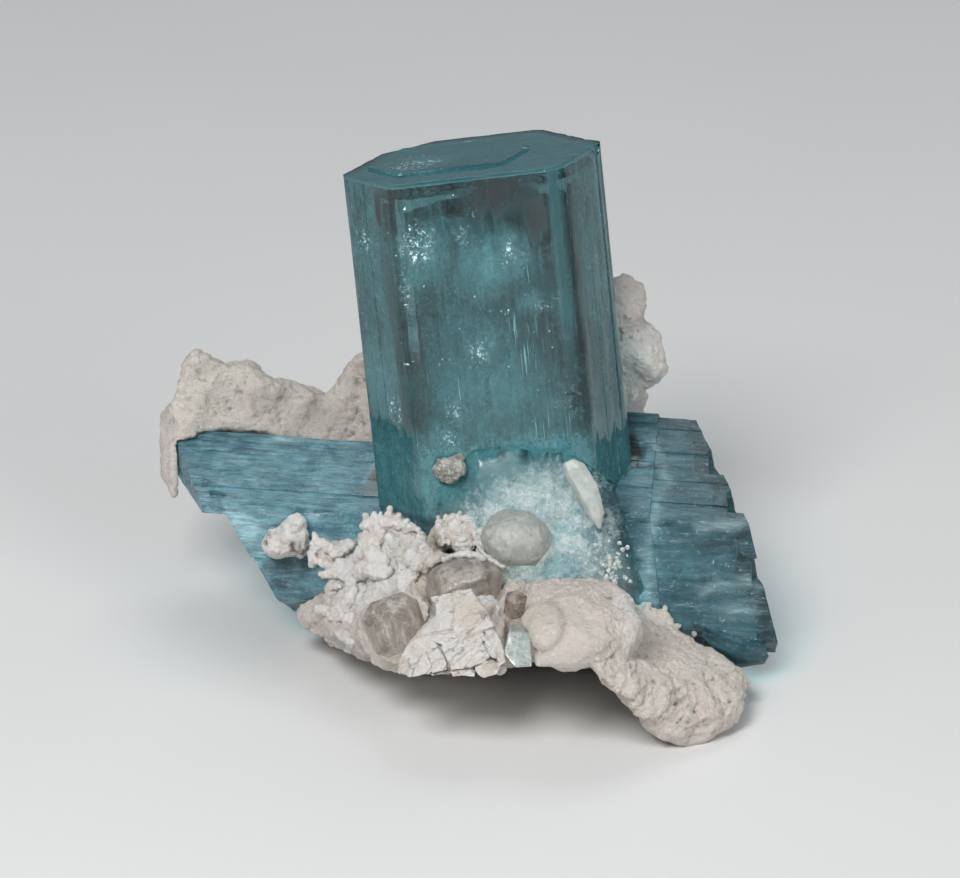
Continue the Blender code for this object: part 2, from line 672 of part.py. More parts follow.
def build():
    """Make every mineral grain, cut each clear of its neighbours, and set the whole about its middle."""
    clear_scene()
    specimen = collection("aquamarine_specimen")
    workshop = collection("cutters")
    crystal = aquamarine(specimen)

    quartz = {
        "smoky_quartz_crystal": SMOKY_CRYSTAL,
        "smoky_quartz_chunk": SMOKY_CHUNK,
        "pale_quartz_grain": PALE_GRAIN,
        "brown_quartz_grain": BROWN_GRAIN,
    }
    grains = {name: hull(name, quartz_corners(*form), specimen) for name, form in quartz.items()}
    blade = hull("feldspar_blade", blade_corners(), specimen)
    tuft = crumb("feldspar_tuft", TUFT_LUMPS, TUFT_TRIANGLES, specimen)
    crust = crumb("grey_crust", CRUST_LUMPS, CRUST_TRIANGLES, specimen)
    sliver = hull("aquamarine_sliver", SLIVER, specimen)
    rock = feldspar_matrix(specimen)

    for piece in (*grains.values(), blade, tuft, crust, rock):
        combine(piece, aquamarine_room(workshop, GAP), "DIFFERENCE")
    for piece in (rock, grains["brown_quartz_grain"]):
        combine(piece, [hull("sliver_room", SLIVER, workshop, GAP)], "DIFFERENCE")
    quartz_room = [hull(f"{n}_room", quartz_corners(*f), workshop, GAP) for n, f in quartz.items()]
    combine(rock, quartz_room, "DIFFERENCE")
    grown_crystal = hull("crystal_room", quartz_corners(*SMOKY_CRYSTAL), workshop, GAP)
    combine(grains["smoky_quartz_chunk"], [grown_crystal], "DIFFERENCE")
    grown_chunk = hull("chunk_room", quartz_corners(*SMOKY_CHUNK), workshop, GAP)
    combine(grains["pale_quartz_grain"], [grown_chunk], "DIFFERENCE")
    for piece in (*grains.values(), blade, tuft, crust, rock):
        keep_largest(piece)

    finishes = {name: material(name) for name in FINISHES}
    coats = {
        "aquamarine": [crystal, sliver],
        "feldspar": [rock, tuft, blade],
        "smoky_quartz": [grains[n] for n in ("smoky_quartz_crystal", "smoky_quartz_chunk")]
        + [grains["brown_quartz_grain"]],
        "pale_quartz": [grains["pale_quartz_grain"]],
        "crust": [crust],
    }
    base = bpy.data.objects.new("base", None)
    specimen.objects.link(base)
    base.location = -MIDDLE * MM
    for finish, pieces in coats.items():
        for piece in pieces:
            piece.data.materials.clear()
            piece.data.materials.append(finishes[finish])
            piece.parent = base


build()
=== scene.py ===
"""Looks for the aquamarine specimen: clear beryl prisms with veils inside, feldspar rock and quartz grains.

Sizes are in millimetres in the part's own frame, and turn into metres where a mesh is made.
"""

import itertools
import logging
import math
from dataclasses import dataclass
from enum import Enum
from typing import Protocol

import bmesh
import bpy
import numpy as np
from bpy.types import Material, Mesh, NodeSocket, NodeTree, Object
from mathutils import Euler, Matrix, Vector
from mathutils.bvhtree import BVHTree
from numpy import ndarray
from numpy.random import Generator


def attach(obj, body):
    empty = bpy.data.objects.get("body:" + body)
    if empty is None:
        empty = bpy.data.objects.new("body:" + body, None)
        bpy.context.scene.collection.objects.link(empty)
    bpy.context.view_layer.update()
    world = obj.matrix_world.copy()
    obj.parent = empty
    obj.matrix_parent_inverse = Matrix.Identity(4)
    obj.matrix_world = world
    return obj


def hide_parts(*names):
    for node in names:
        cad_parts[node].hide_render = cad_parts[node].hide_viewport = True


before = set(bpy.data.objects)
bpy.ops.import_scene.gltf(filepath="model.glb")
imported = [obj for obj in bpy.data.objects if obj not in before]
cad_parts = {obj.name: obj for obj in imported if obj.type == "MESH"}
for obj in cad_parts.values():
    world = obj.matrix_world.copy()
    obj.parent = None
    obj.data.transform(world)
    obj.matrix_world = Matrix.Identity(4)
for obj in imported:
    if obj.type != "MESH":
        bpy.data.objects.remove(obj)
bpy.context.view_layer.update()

LOG = logging.getLogger("specimen")
MM = 0.001
BODY = "root"

UPRIGHT_TOP = Vector((1.0, 8.7, 50.6))  # middle of the upright prism's top face
LEAN_LEFT = math.radians(5.8)
LEAN_BACK = math.radians(6.9)
LYING_YAW = math.radians(-10.0)

# Whole numbers that stir a cell's number until no pattern is left.
CELL_PRIMES = (73856093, 19349663, 83492791, 2654435761)
STIR_PRIMES = (2246822519, 3266489917)
BITS_32 = 0xFFFFFFFF
BITS_24 = 0xFFFFFF
LAYER_SHIFT = 17.3  # moves each finer layer of noise off the one before
WELD = 0.001  # points nearer than this become one

Point = tuple[float, float, float]
Solid = tuple[ndarray, list]  # points in millimetres, one a row, and faces


def upright_turn() -> Matrix:
    """Return the turn that takes the upright prism's own axes to the part's."""
    return Matrix.Rotation(-LEAN_BACK, 3, "X") @ Matrix.Rotation(-LEAN_LEFT, 3, "Y")


def upright_local(points: ndarray) -> ndarray:
    """Give points in the upright prism's axes, Z along it, zero at its top face's middle."""
    return (points - np.array(UPRIGHT_TOP)) @ np.array(upright_turn())


def from_upright(points: ndarray) -> ndarray:
    """Give points of the upright prism's axes in the part's frame."""
    return points @ np.array(upright_turn()).T + np.array(UPRIGHT_TOP)


def lying_heading() -> Vector:
    """Return the direction of the lying prisms' axis."""
    return Matrix.Rotation(LYING_YAW, 3, "Z") @ Vector((1.0, 0.0, 0.0))


def lying_local(points: ndarray) -> ndarray:
    """Turn points so that X runs along the lying prisms' axis."""
    return points @ np.array(Matrix.Rotation(LYING_YAW, 3, "Z"))


def scrambled(cells: ndarray, seed: int) -> ndarray:
    """Give each whole-numbered cell a fixed number from 0 to 1.

    Args:
        cells: Cell numbers, one cell a row.
        seed: Picks one of many patterns.

    Returns:
        One number for each cell.
    """
    whole = cells.astype(np.int64)
    mixed = seed * CELL_PRIMES[3]
    for axis in range(3):
        mixed = mixed ^ (whole[..., axis] * CELL_PRIMES[axis])
    mixed &= BITS_32
    mixed = ((mixed ^ (mixed >> 15)) * STIR_PRIMES[0]) & BITS_32
    mixed = ((mixed ^ (mixed >> 13)) * STIR_PRIMES[1]) & BITS_32
    return ((mixed ^ (mixed >> 16)) & BITS_24) / float(BITS_24)


def rolling(points: ndarray, seed: int) -> ndarray:
    """Return smooth noise from -1 to 1 with bumps about one unit across.

    Args:
        points: Points, one a row.
        seed: Picks the pattern.

    Returns:
        One number for each point.
    """
    base = np.floor(points).astype(np.int64)
    part = points - base
    part = part * part * (3.0 - 2.0 * part)
    total = np.zeros(len(points))
    for corner in itertools.product((0, 1), repeat=3):
        step = np.array(corner)
        weight = np.prod(np.where(step == 1, part, 1.0 - part), axis=1)
        total += weight * scrambled(base + step, seed)
    return total * 2.0 - 1.0


def rough(points: ndarray, size: float | Point, seed: int, layers: int = 3, fade: float = 0.5) -> ndarray:
    """Return layered noise, each layer twice as fine as the last.

    Args:
        points: Points in millimetres, one a row.
        size: Width of the largest bumps, or one for each axis.
        seed: Picks the pattern.
        layers: How many layers are added.
        fade: Strength of each layer against the one before.

    Returns:
        One number for each point, about -1 to 1.
    """
    scaled = points / np.array(size)
    total, share, weight = np.zeros(len(points)), 0.0, 1.0
    for layer in range(layers):
        total += weight * rolling(scaled * 2.0**layer + LAYER_SHIFT * layer, seed + layer)
        share += weight
        weight *= fade
    return total / share


def shaken(points: ndarray, reach: float, size: float, seed: int) -> ndarray:
    """Move points by waves, the same along all axes, so that edges drawn with them get ragged."""
    return points + reach * rough(points, size, seed)[:, None]


def swirled(points: ndarray, reach: float, size: float, seed: int) -> ndarray:
    """Move points by waves, another way along each axis, so that patterns drawn with them curl."""
    return points + reach * np.stack([rough(points, size, seed + axis) for axis in range(3)], axis=1)


def grains(points: ndarray, size: float | Point, seed: int) -> tuple[ndarray, ndarray]:
    """Measure each point against scattered grain centres.

    Args:
        points: Points in millimetres, one a row.
        size: Width of a grain, or one for each axis.
        seed: Picks the pattern.

    Returns:
        Distance to the nearest centre, and a fixed number for its grain.
    """
    scaled = points / np.array(size)
    base = np.floor(scaled).astype(np.int64)
    nearest = np.full(len(points), np.inf)
    tone = np.zeros(len(points))
    for offset in itertools.product((-1, 0, 1), repeat=3):
        cell = base + np.array(offset)
        seat = cell + np.stack([scrambled(cell, seed + axis) for axis in range(3)], axis=1)
        gap = np.linalg.norm(scaled - seat, axis=1)
        tone = np.where(gap < nearest, scrambled(cell, seed + 3), tone)
        nearest = np.minimum(nearest, gap)
    return nearest, tone


def ramp(values: ndarray, low: float, high: float) -> ndarray:
    """Rise smoothly from 0 at low to 1 at high, which may be the smaller."""
    share = np.clip((values - low) / (high - low), 0.0, 1.0)
    return share * share * (3.0 - 2.0 * share)


def near(points: ndarray, centre: Point, radii: float | Point, edge: float = 0.35) -> ndarray:
    """Return 1 inside an ellipsoid, falling to 0 at its rim over a share of its radii."""
    reach = np.linalg.norm((points - np.array(centre)) / np.array(radii), axis=1)
    return ramp(reach, 1.0, 1.0 - edge)


def within(points: ndarray, spots: tuple, edge: float) -> ndarray:
    """Return 1 inside any of some ellipsoids, each given by its centre and radii."""
    return np.max([near(points, centre, radii, edge) for centre, radii in spots], axis=0)


def along(points: ndarray, path: tuple, width: float) -> ndarray:
    """Return 1 on a path through the part, falling to 0 away from it.

    Args:
        points: Points, one a row.
        path: The path's corners.
        width: Distance at which the value has mostly gone.

    Returns:
        One number for each point.
    """
    closest = np.full(len(points), np.inf)
    for first, second in zip(np.array(path[:-1]), np.array(path[1:])):
        run = second - first
        share = np.clip((points - first) @ run / (run @ run), 0.0, 1.0)
        closest = np.minimum(closest, np.linalg.norm(points - first - share[:, None] * run, axis=1))
    return np.exp(-((closest / width) ** 2))


class Shape:
    """A mesh object while it is worked on, with its points in millimetres."""

    def __init__(self, obj: Object) -> None:
        """Take over an object that sits at the origin."""
        self.obj = obj

    @classmethod
    def from_mesh(cls, mesh: Mesh) -> "Shape":
        """Make an object of a mesh, by the mesh's own name.

        Args:
            mesh: The mesh, in metres.

        Returns:
            The new shape.
        """
        obj = bpy.data.objects.new(mesh.name, mesh)
        bpy.context.scene.collection.objects.link(obj)
        return cls(obj)

    @classmethod
    def from_bmesh(cls, name: str, bm: bmesh.types.BMesh) -> "Shape":
        """Make an object from a bmesh in metres, and free it.

        Args:
            name: Name of the object.
            bm: The mesh.

        Returns:
            The new shape.
        """
        mesh = bpy.data.meshes.new(name)
        bm.to_mesh(mesh)
        bm.free()
        return cls.from_mesh(mesh)

    @classmethod
    def from_node(cls, name: str, node: str) -> "Shape":
        """Copy a CAD node's mesh with its points welded.

        Args:
            name: Name of the new object.
            node: The CAD node.

        Returns:
            The new shape.
        """
        bm = bmesh.new()
        bm.from_mesh(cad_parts[node].data)
        bmesh.ops.remove_doubles(bm, verts=bm.verts, dist=WELD * MM)
        bmesh.ops.recalc_face_normals(bm, faces=bm.faces)
        return cls.from_bmesh(name, bm)

    @classmethod
    def from_parts(cls, name: str, parts: list[Solid]) -> "Shape":
        """Make one object from many small solids.

        Args:
            name: Name of the object.
            parts: The solids.

        Returns:
            The new shape.
        """
        points, faces, count = [], [], 0
        for corners, sides in parts:
            points.append(corners)
            faces += [tuple(index + count for index in side) for side in sides]
            count += len(corners)
        mesh = bpy.data.meshes.new(name)
        mesh.from_pydata((np.concatenate(points) * MM).tolist(), [], faces)
        return cls.from_mesh(mesh)

    def read(self, what: str) -> ndarray:
        """Read three numbers of each point.

        Args:
            what: Blender's name for them.

        Returns:
            The numbers, one point a row.
        """
        flat = np.empty(len(self.obj.data.vertices) * 3)
        self.obj.data.vertices.foreach_get(what, flat)
        return flat.reshape(-1, 3)

    def points(self) -> ndarray:
        """Return the points in millimetres, one a row."""
        return self.read("co") / MM

    def normals(self) -> ndarray:
        """Return the direction of the surface at each point."""
        return self.read("normal")

    def place(self, points: ndarray) -> None:
        """Move every point to a place given in millimetres."""
        self.obj.data.vertices.foreach_set("co", (points * MM).ravel())
        self.obj.data.update()

    def raise_by(self, heights: ndarray) -> None:
        """Move every point out along the surface's direction by its own height."""
        self.place(self.points() + self.normals() * heights[:, None])

    def mark(self, name: str, values: ndarray) -> None:
        """Keep a number for each point, for the finishes to read."""
        held = self.obj.data.attributes.get(name) or self.obj.data.attributes.new(name, "FLOAT", "POINT")
        held.data.foreach_set("value", values.astype(np.float32))

    def apply(self, kind: str, settings: dict) -> None:
        """Add a modifier and make its result the mesh.

        Args:
            kind: The modifier's type.
            settings: Its values by name.
        """
        modifier = self.obj.modifiers.new(kind.lower(), kind)
        for name, value in settings.items():
            setattr(modifier, name, value)
        graph = bpy.context.evaluated_depsgraph_get()
        old = self.obj.data
        self.obj.data = bpy.data.meshes.new_from_object(self.obj.evaluated_get(graph))
        self.obj.modifiers.clear()
        bpy.data.meshes.remove(old)

    def voxel(self, size: float) -> None:
        """Remesh the solid with cubes of that size in millimetres, which also joins what overlaps."""
        self.apply("REMESH", {"mode": "VOXEL", "voxel_size": size * MM, "use_smooth_shade": True})

    def relax(self, rounds: int, factor: float = 0.5) -> None:
        """Smooth the surface a number of times."""
        self.apply("SMOOTH", {"factor": factor, "iterations": rounds})

    def sunken(self, rounds: int) -> ndarray:
        """Say how far each point lies under a smoother surface, and leave the shape as it is.

        Args:
            rounds: How many times that surface is smoothed.

        Returns:
            One depth in millimetres for each point, below zero above it.
        """
        before, out = self.points(), self.normals()
        self.relax(rounds)
        after = self.points()
        self.place(before)
        return ((after - before) * out).sum(axis=1)

    def divide(self, levels: int) -> None:
        """Split every face in four, a number of times, without rounding the shape."""
        settings = {"subdivision_type": "SIMPLE", "levels": levels, "render_levels": levels}
        self.apply("SUBSURF", settings)

    def slice(self, normal: Vector, start: float, end: float, step: float) -> None:
        """Cut the surface along evenly spaced planes, so that long faces get points along them.

        Args:
            normal: Direction across the planes.
            start: Distance of the first plane from the origin, in millimetres.
            end: Distance of the last.
            step: Distance between planes.
        """
        bm = bmesh.new()
        bm.from_mesh(self.obj.data)
        for distance in np.arange(start, end, step):
            everything = bm.verts[:] + bm.edges[:] + bm.faces[:]
            bmesh.ops.bisect_plane(bm, geom=everything, plane_co=normal * distance * MM, plane_no=normal)
        bmesh.ops.triangulate(bm, faces=bm.faces)
        bm.to_mesh(self.obj.data)
        bm.free()

    def soften(self) -> None:
        """Shade the surface smooth."""
        self.obj.data.shade_smooth()

    def harden(self, angle_deg: float) -> None:
        """Shade the surface smooth except where it turns by more than an angle."""
        self.soften()
        self.obj.data.set_sharp_from_angle(angle=math.radians(angle_deg))

    def wear(self, material: Material, slot: str, *nodes: str) -> Object:
        """Give the piece its finish and its place in the specimen.

        Args:
            material: The finish.
            slot: The record's material slot; not used.
            *nodes: CAD nodes that the piece stands for.

        Returns:
            The finished object.
        """
        self.obj.data.materials.clear()
        self.obj.data.materials.append(material)
        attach(self.obj, BODY)
        if nodes:
            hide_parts(*nodes)
        LOG.info("%s: %d faces", self.obj.name, len(self.obj.data.polygons))
        return self.obj


class Finish(Protocol):
    """Anything that lays down a material."""

    def build(self) -> Material:
        """Return the material."""


class Piece:
    """A sub-assembly that is one shape in one finish, its slot and CAD nodes given by its class."""

    slot = "feldspar"
    nodes = ("feldspar_matrix",)

    def build(self) -> Shape:
        """Make the shape; each piece has its own way."""
        raise NotImplementedError

    def dress(self, finish: Finish) -> None:
        """Build the piece and give it its finish."""
        self.build().wear(finish.build(), self.slot, *self.nodes)


def wrapped(corners: tuple) -> bmesh.types.BMesh:
    """Make the solid that closely wraps some corners.

    Args:
        corners: Its corners, in millimetres.

    Returns:
        The solid, in metres.
    """
    bm = bmesh.new()
    for corner in corners:
        bm.verts.new(Vector(corner) * MM)
    found = bmesh.ops.convex_hull(bm, input=bm.verts)
    loose = found["geom_interior"] + found["geom_unused"]
    spare = {item for item in loose if isinstance(item, bmesh.types.BMVert)}
    bmesh.ops.delete(bm, geom=list(spare), context="VERTS")
    bmesh.ops.recalc_face_normals(bm, faces=bm.faces)
    return bm


class Interior:
    """The inside of the beryl, as the CAD solid gives it."""

    def __init__(self) -> None:
        """Measure the solid."""
        probe = Shape.from_node("probe", "aquamarine_crystals").obj
        self.skin = BVHTree.FromObject(probe, bpy.context.evaluated_depsgraph_get())
        bpy.data.meshes.remove(probe.data)

    def depth(self, point: ndarray) -> tuple[float, ndarray, ndarray]:
        """Say how far a point lies under the surface.

        Args:
            point: Its place in millimetres.

        Returns:
            The depth, below zero outside, with the nearest spot and its outward direction.
        """
        spot, normal, _, _ = self.skin.find_nearest(Vector(point) * MM)
        seat, out = np.array(spot) / MM, np.array(normal)
        return float((seat - point) @ out), seat, out

    def kept(self, points: ndarray, least: float) -> ndarray:
        """Draw points that lie too near the surface, or outside, back under it.

        Args:
            points: Points, one a row.
            least: How deep they have to lie.

        Returns:
            The points, moved where it was needed.
        """
        moved = points.copy()
        for index, point in enumerate(points):
            under, seat, out = self.depth(point)
            if under < least:
                moved[index] = seat - out * least
        return moved

    def holds(self, points: ndarray, least: float) -> bool:
        """Say whether all points lie at least that far under the surface."""
        return all(self.depth(point)[0] > least for point in points)


@dataclass
class InnerPiece(Piece):
    """Something inside the beryl, which has to stay under its surface."""

    slot = "aquamarine"
    nodes = ()
    interior: Interior


class Term:
    """A shader socket that can stand in arithmetic."""

    def __init__(self, tree: NodeTree, socket: NodeSocket) -> None:
        """Wrap one output socket of a tree."""
        self.tree = tree
        self.socket = socket

    def reckon(self, operation: str, *operands: "Term | float") -> "Term":
        """Add a Math node.

        Args:
            operation: The node's operation.
            *operands: Its inputs, terms or numbers.

        Returns:
            The node's output.
        """
        node = self.tree.nodes.new("ShaderNodeMath")
        node.operation = operation
        for slot, value in enumerate(operands):
            if isinstance(value, Term):
                self.tree.links.new(value.socket, node.inputs[slot])
            else:
                node.inputs[slot].default_value = value
        return Term(self.tree, node.outputs[0])

    def __add__(self, other: "Term | float") -> "Term":
        """Add."""
        return self.reckon("ADD", self, other)

    __radd__ = __add__

    def __sub__(self, other: "Term | float") -> "Term":
        """Take away."""
        return self.reckon("SUBTRACT", self, other)

    def __rsub__(self, other: float) -> "Term":
        """Take away from a number."""
        return self.reckon("SUBTRACT", other, self)

    def __mul__(self, other: "Term | float") -> "Term":
        """Multiply."""
        return self.reckon("MULTIPLY", self, other)

    __rmul__ = __mul__

    def __pow__(self, other: float) -> "Term":
        """Raise to a power."""
        return self.reckon("POWER", self, other)

    def held(self) -> "Term":
        """Keep the value between 0 and 1."""
        return self.reckon("MINIMUM", self.reckon("MAXIMUM", self, 0.0), 1.0)

    def rise(self, low: float, high: float) -> "Term":
        """Rise smoothly from 0 at low to 1 at high."""
        share = ((self - low) * (1.0 / (high - low))).held()
        return share * share * (3.0 - 2.0 * share)


Colour = tuple[float, float, float]
LEVEL = Euler()
EVEN = (1.0, 1.0, 1.0)


class Graph:
    """The nodes of one material, laid down from texture to surface."""

    def __init__(self, name: str) -> None:
        """Start an empty material.

        Args:
            name: The material's name.
        """
        self.material = bpy.data.materials.new(name)
        self.material.use_nodes = True
        self.tree = self.material.node_tree
        self.tree.nodes.clear()
        self.out = self.tree.nodes.new("ShaderNodeOutputMaterial")

    def feed(self, socket: NodeSocket, value: Term | Euler | tuple | float) -> None:
        """Link a term to a socket, or set the socket's own value.

        Args:
            socket: The input.
            value: A term, number, vector or colour.
        """
        if isinstance(value, Term):
            self.tree.links.new(value.socket, socket)
        elif isinstance(value, tuple) and socket.type == "RGBA":
            socket.default_value = (*value[:3], 1.0)
        else:
            socket.default_value = value

    def node(self, kind: str, settings: dict, inputs: dict, output: str | int = 0) -> Term:
        """Add any node.

        Args:
            kind: The node's type, without its ShaderNode prefix.
            settings: Its own settings, set first.
            inputs: Values or links of its sockets, by name or number.
            output: The socket that is given back.

        Returns:
            The output asked for.
        """
        node = self.tree.nodes.new("ShaderNode" + kind)
        for name, value in settings.items():
            setattr(node, name, value)
        for name, value in inputs.items():
            self.feed(node.inputs[name], value)
        return Term(self.tree, node.outputs[output])

    def kept(self, name: str) -> Term:
        """Read a number that the mesh keeps for each point."""
        return self.node("Attribute", {"attribute_name": name}, {}, "Fac")

    def place(self, turn: Euler = LEVEL, stretch: Point = EVEN) -> Term:
        """Give places in millimetres, turned and squeezed for a pattern.

        Args:
            turn: Turn applied to the part's axes.
            stretch: How many times longer the pattern gets along each axis.

        Returns:
            A vector.
        """
        spot = self.node("TexCoord", {}, {}, "Object")
        turned = self.node("Mapping", {"vector_type": "POINT"}, {"Vector": spot, "Rotation": turn})
        squeeze = tuple(1.0 / (MM * axis) for axis in stretch)
        return self.node("VectorMath", {"operation": "MULTIPLY"}, {0: turned, 1: squeeze})

    def cloud(
        self, where: Term, size: float, detail: float = 4.0, harsh: float = 0.55, warp: float = 0.0
    ) -> Term:
        """Lay a cloudy pattern about 0.5: width of its clouds, finer layers, their strength and its swirl."""
        inputs = {"Vector": where, "Scale": 1.0 / size, "Detail": detail, "Roughness": harsh}
        return self.node("TexNoise", {"noise_dimensions": "3D"}, inputs | {"Distortion": warp}, "Fac")

    def cell(self, where: Term, size: float, feature: str = "F1", output: str = "Distance") -> Term:
        """Lay a pattern of grains: their width, what is measured and which result is given."""
        return self.node("TexVoronoi", {"feature": feature}, {"Vector": where, "Scale": 1.0 / size}, output)

    def blend(self, factor: Term | float, first: Term | Colour, second: Term | Colour) -> Term:
        """Mix two colours, the factor being the share of the second."""
        return self.node("Mix", {"data_type": "RGBA"}, {0: factor, 6: first, 7: second}, 2)

    def bump(self, height: Term, distance: float, strength: float = 1.0, under: Term | None = None) -> Term:
        """Turn a height into a change of the surface's direction.

        Args:
            height: The height, 0 to 1.
            distance: Millimetres for a height of 1.
            strength: Share of the effect.
            under: A direction that this one builds on.

        Returns:
            The new direction.
        """
        inputs = {"Height": height, "Distance": distance * MM, "Strength": strength}
        if under is not None:
            inputs["Normal"] = under
        return self.node("Bump", {}, inputs)

    def surface(self, inputs: dict) -> Term:
        """Add a Principled shader."""
        return self.node("BsdfPrincipled", {}, inputs)

    def glass(self, tint: Colour, haze: Term, ior: float, skin: Term) -> Term:
        """Add a clear surface: its tint, how rubbed it is, how much it bends light and its direction."""
        inputs = {"Base Color": tint, "Roughness": haze, "IOR": ior, "Transmission Weight": 1.0, "Normal": skin}
        return self.surface(inputs)

    def between(self, factor: Term | float, first: Term, second: Term) -> Term:
        """Mix two shaders, the factor being the share of the second."""
        return self.node("MixShader", {}, {0: factor, 1: first, 2: second})

    def lamp_lit(self, shader: Term, tint: Colour) -> Term:
        """Let lamps shine through a clear surface onto what is inside it.

        Args:
            shader: The surface.
            tint: Colour that the light takes on.

        Returns:
            The surface with its shadow made clear.
        """
        shadow = self.node("LightPath", {}, {}, "Is Shadow Ray")
        clear = self.node("BsdfTransparent", {}, {"Color": tint})
        return self.between(shadow, shader, clear)

    def close(self, shader: Term, volume: Term | None = None) -> Material:
        """Link the result to the output.

        Args:
            shader: The surface.
            volume: What fills the solid.

        Returns:
            The finished material.
        """
        self.tree.links.new(shader.socket, self.out.inputs["Surface"])
        if volume is not None:
            self.tree.links.new(volume.socket, self.out.inputs["Volume"])
        return self.material


# Turns that set the part's axes along the upright prism and along the lying ones.
UPRIGHT_EULER = upright_turn().inverted().to_euler()
LYING_EULER = Matrix.Rotation(-LYING_YAW, 3, "Z").to_euler()


@dataclass(frozen=True)
class BerylFinish:
    """Clear blue-green beryl: fine ribs, frosting where it is etched, and a deeper colour with depth."""

    absorb: Colour = (0.22, 0.62, 0.67)
    density: float = 110.0
    ior: float = 1.577
    shine_through: Colour = (0.76, 0.94, 0.96)
    pale_milk: Colour = (0.38, 0.55, 0.56)
    # Lit and shaded copies of one milky tone: the lighter pair for the left side, the near-black pair for the
    # right lying prism; painted light and shade.
    lit_left_deep: Colour = (0.036, 0.135, 0.175)
    lit_left_pale: Colour = (0.235, 0.45, 0.52)
    shaded_right_deep: Colour = (0.01, 0.034, 0.042)
    shaded_right_pale: Colour = (0.042, 0.118, 0.145)
    fleck: Colour = (0.56, 0.8, 0.84)

    def build(self) -> Material:
        """Lay down the finish.

        Returns:
            The material.
        """
        g = Graph("beryl")
        even = g.place()
        upright = g.place(UPRIGHT_EULER, (1.0, 1.0, 16.0))
        lying = g.place(LYING_EULER, (4.5, 1.0, 1.0))
        frost = g.kept("frost")
        flat = g.kept("lying")
        pale = g.kept("pale")
        rib = g.cloud(upright, 0.9, 2.0, 0.5)
        grain = g.cloud(lying, 0.65, 5.0, 0.68, 0.3)
        billow = g.cloud(even, 2.6, 5.0, 0.6, 0.8)
        pits = g.cloud(even, 0.35, 4.0, 0.7)
        ribs = g.bump(rib * (1.0 - flat), 0.06, 0.3)
        ledges = g.bump(grain * flat, 0.2, 0.6, ribs)
        rubbed = g.bump(pits * frost, 0.3, 1.0, ledges)
        haze = 0.02 + rib.rise(0.6, 0.8) * 0.06 + flat * 0.1 + frost * 0.35
        clear = g.glass((0.96, 1.0, 1.0), haze, self.ior, rubbed)
        mottled = (grain.rise(0.34, 0.68) * 0.45 + billow.rise(0.36, 0.64) * 0.55).held()
        # Painted light and shade: the lighter copy where the pale mark is high, the near-black copy elsewhere.
        left = g.blend(mottled, self.lit_left_deep, self.lit_left_pale)
        right = g.blend(mottled, self.shaded_right_deep, self.shaded_right_pale)
        tone = g.blend(pale, right, left)
        tone = g.blend(g.kept("band") * (0.1 + grain * 0.45), tone, self.fleck)
        tone = g.blend(pits.rise(0.6, 0.7) * 0.65, tone, self.fleck)
        tone = g.blend(frost, tone, self.pale_milk)
        milk = g.surface({"Base Color": tone, "Roughness": 0.38, "Normal": rubbed})
        covered = frost * (0.35 + billow.rise(0.35, 0.65) * 0.4)
        streaked = flat * (0.46 + grain.rise(0.4, 0.7) * 0.36 + g.kept("band") * 0.3)
        share = (covered + streaked * (1.0 - frost)).held()
        body = g.lamp_lit(g.between(share, clear, milk), self.shine_through)
        inside = g.node("VolumeAbsorption", {}, {"Color": self.absorb, "Density": self.density})
        return g.close(body, inside)


@dataclass(frozen=True)
class EtchedFinish:
    """Frosted beryl: a milky crust full of fine crystal grain that thins out into the clear prism."""

    white: Colour = (0.64, 0.74, 0.74)
    grey: Colour = (0.47, 0.6, 0.6)
    blue: Colour = (0.33, 0.54, 0.59)
    bright: Colour = (0.93, 0.97, 0.96)

    def build(self) -> Material:
        """Lay down the finish.

        Returns:
            The material.
        """
        g = Graph("etched_beryl")
        even = g.place()
        slanted = g.place(Euler((0.0, math.radians(35.0), 0.0)), (4.0, 1.0, 1.0))
        thin = g.kept("thin")
        fade = g.kept("fade")
        broad = g.cloud(even, 2.4, 6.0, 0.64, 0.8)
        fine = g.cloud(even, 0.55, 5.0, 0.72, 0.6)
        scratch = g.cloud(slanted, 0.5, 4.0, 0.65, 0.3)
        specks = g.cloud(even, 0.24, 3.0, 0.78)
        skin = g.bump(specks, 0.14, 0.8, g.bump(fine, 0.24, 0.7))
        tone = g.blend(broad.rise(0.32, 0.7), self.grey, self.white)
        tone = g.blend(specks.rise(0.42, 0.34) * 0.5, tone, self.blue)
        tone = g.blend((thin * 0.8 + (1.0 - fade) * 0.3).held(), tone, self.blue)
        tone = g.blend(scratch.rise(0.56, 0.74) * 0.5, tone, self.bright)
        tone = g.blend(specks.rise(0.6, 0.7) * 0.75, tone, self.bright)
        worn = fade * (0.62 + fine.rise(0.36, 0.6) * 0.34) - thin * 0.2 - broad.rise(0.54, 0.38) * 0.14
        worn = worn + fade * specks.rise(0.58, 0.68) * 0.35 - (1.0 - fade) * fine.rise(0.6, 0.42) * 0.5
        inputs = {"Roughness": 0.22 + fine * 0.35, "Specular IOR Level": 0.6, "Alpha": worn.held()}
        return g.close(g.surface(inputs | {"Base Color": tone, "Normal": skin}))


